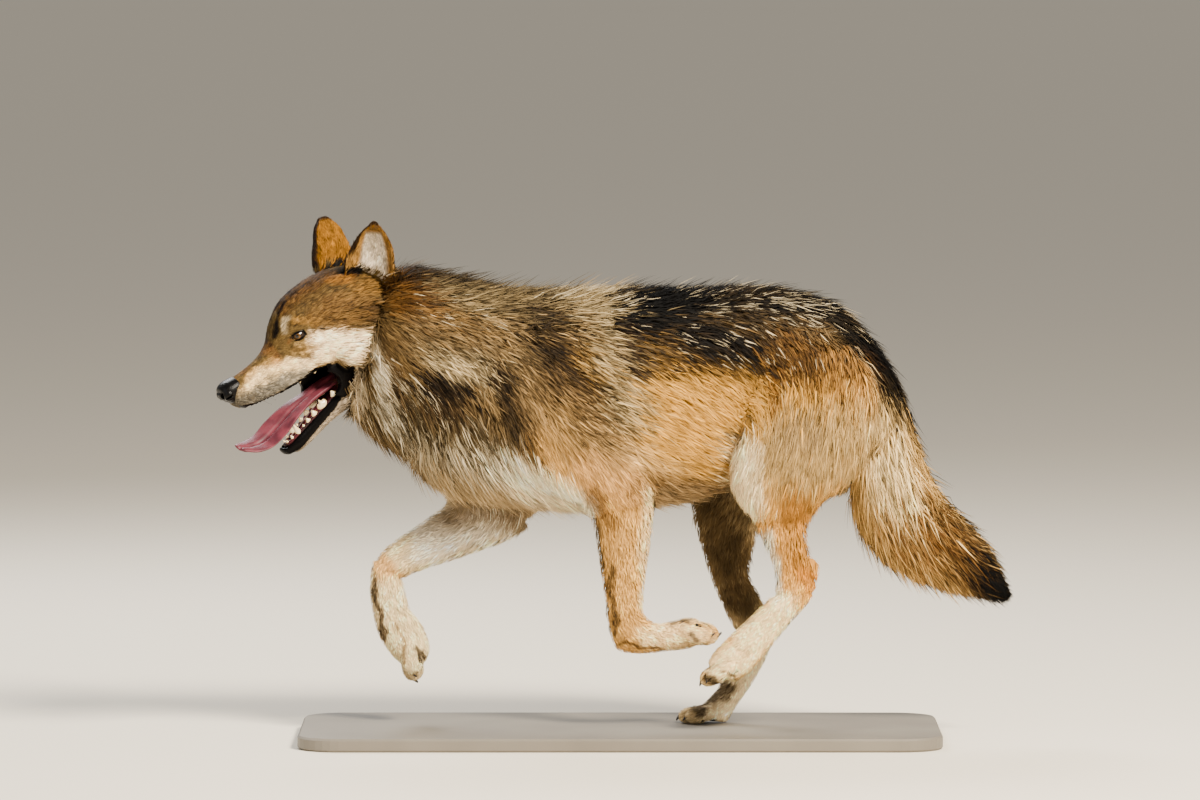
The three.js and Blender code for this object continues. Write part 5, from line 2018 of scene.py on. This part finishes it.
class WolfShapeSettings(bpy.types.PropertyGroup):
    body_voxel: FloatProperty(
        name="Body Detail",
        description="Smallest detail kept in the body's skin",
        default=0.0026,
        min=0.001,
        unit="LENGTH",
    )
    head_voxel: FloatProperty(
        name="Head Detail",
        description="Smallest detail kept in the head's skin",
        default=0.0016,
        min=0.0008,
        unit="LENGTH",
    )
    iris_radius: FloatProperty(
        name="Iris Radius",
        description="Radius of the coloured iris",
        default=0.0063,
        min=0.003,
        unit="LENGTH",
    )
    pupil_radius: FloatProperty(
        name="Pupil Radius",
        description="Radius of the round pupil",
        default=0.0024,
        min=0.0005,
        unit="LENGTH",
    )


class WolfStageSettings(bpy.types.PropertyGroup):
    key_power: FloatProperty(
        name="Key Light",
        description="Power of the main light",
        default=1150,
        unit="POWER",
    )
    fill_power: FloatProperty(
        name="Fill Light",
        description="Power of the fill light",
        default=45,
        unit="POWER",
    )
    rim_power: FloatProperty(
        name="Rim Light",
        description="Power of the light behind",
        default=150,
        unit="POWER",
    )
    sky: FloatProperty(
        name="Sky Strength",
        description="Strength of the light all round",
        default=0.5,
        min=0,
    )
    paper: FloatVectorProperty(
        name="Floor Colour",
        description="Colour of the floor the model stands on",
        default=linear("#e9e0cf"),
        min=0,
        max=1,
        subtype="COLOR",
    )


class WOLF_OT_skin(bpy.types.Operator):
    """Build the skin: one surface from the nose to the tail, with the lips, lids, ears and toes"""

    bl_idname = "wolf.skin"
    bl_label = "Skin"

    def execute(self, context):
        build_skin(context.scene.wolf_shape)
        return {"FINISHED"}


class WOLF_OT_coat(bpy.types.Operator):
    """Grow the coat on the skin, one region of the body after another"""

    bl_idname = "wolf.coat"
    bl_label = "Coat"

    def execute(self, context):
        build_coat(context.scene.wolf_coat)
        return {"FINISHED"}


class WOLF_OT_eyes(bpy.types.Operator):
    """Build both eyes"""

    bl_idname = "wolf.eyes"
    bl_label = "Eyes"

    def execute(self, context):
        settings = context.scene.wolf_shape
        iris, pupil = settings.iris_radius / MM, settings.pupil_radius / MM
        material = eye_material(iris, pupil)
        for name in EARS:
            finish_piece(build_eye(name, iris), material, [f"eye_{name}"])
        return {"FINISHED"}


class WOLF_OT_nose(bpy.types.Operator):
    """Build the nose leather and the whiskers"""

    bl_idname = "wolf.nose"
    bl_label = "Nose and Whiskers"

    def execute(self, context):
        build_nose()
        build_whiskers()
        return {"FINISHED"}


class WOLF_OT_mouth(bpy.types.Operator):
    """Build the gums, the teeth and the tongue"""

    bl_idname = "wolf.mouth"
    bl_label = "Mouth"

    def execute(self, context):
        build_teeth("upper", HEAD, -1)
        build_teeth("lower", JAW, 1)
        build_tongue()
        return {"FINISHED"}


class WOLF_OT_feet(bpy.types.Operator):
    """Build the claws and the pads of the four feet"""

    bl_idname = "wolf.feet"
    bl_label = "Claws and Pads"

    def execute(self, context):
        for leg in TOES:
            build_claws(leg)
            build_pads(leg)
        return {"FINISHED"}


class WOLF_OT_base(bpy.types.Operator):
    """Paint the flat base that the model stands on"""

    bl_idname = "wolf.base"
    bl_label = "Base"

    def execute(self, context):
        paint_base()
        return {"FINISHED"}


class WOLF_OT_stage(bpy.types.Operator):
    """Set up the floor, the lights and the camera"""

    bl_idname = "wolf.stage"
    bl_label = "Stage"

    def execute(self, context):
        build_stage(context.scene.wolf_stage)
        return {"FINISHED"}


PIECES = (
    WOLF_OT_stage,
    WOLF_OT_skin,
    WOLF_OT_coat,
    WOLF_OT_eyes,
    WOLF_OT_nose,
    WOLF_OT_mouth,
    WOLF_OT_feet,
    WOLF_OT_base,
)


class WOLF_PT_pieces(bpy.types.Panel):
    """Lists the model's settings and its pieces"""

    bl_idname = "WOLF_PT_pieces"
    bl_label = "Wolf Model"
    bl_space_type = "VIEW_3D"
    bl_region_type = "UI"
    bl_category = "Wolf"

    def draw(self, context):
        layout = self.layout
        for settings in (context.scene.wolf_shape, context.scene.wolf_coat, context.scene.wolf_stage):
            box = layout.box()
            for name in settings.__annotations__:
                box.prop(settings, name)
        for piece in PIECES:
            layout.operator(piece.bl_idname)


SETTINGS = {"wolf_shape": WolfShapeSettings, "wolf_coat": WolfCoatSettings, "wolf_stage": WolfStageSettings}


def register():
    for kind in (*SETTINGS.values(), *PIECES, WOLF_PT_pieces):
        bpy.utils.register_class(kind)
    for name, kind in SETTINGS.items():
        setattr(bpy.types.Scene, name, PointerProperty(type=kind))


def unregister():
    for name in SETTINGS:
        delattr(bpy.types.Scene, name)
    for kind in reversed((*SETTINGS.values(), *PIECES, WOLF_PT_pieces)):
        bpy.utils.unregister_class(kind)


def main():
    """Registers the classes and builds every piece."""
    register()
    for piece in PIECES:
        group, name = piece.bl_idname.split(".")
        getattr(getattr(bpy.ops, group), name)()


if __name__ == "__main__":
    main()
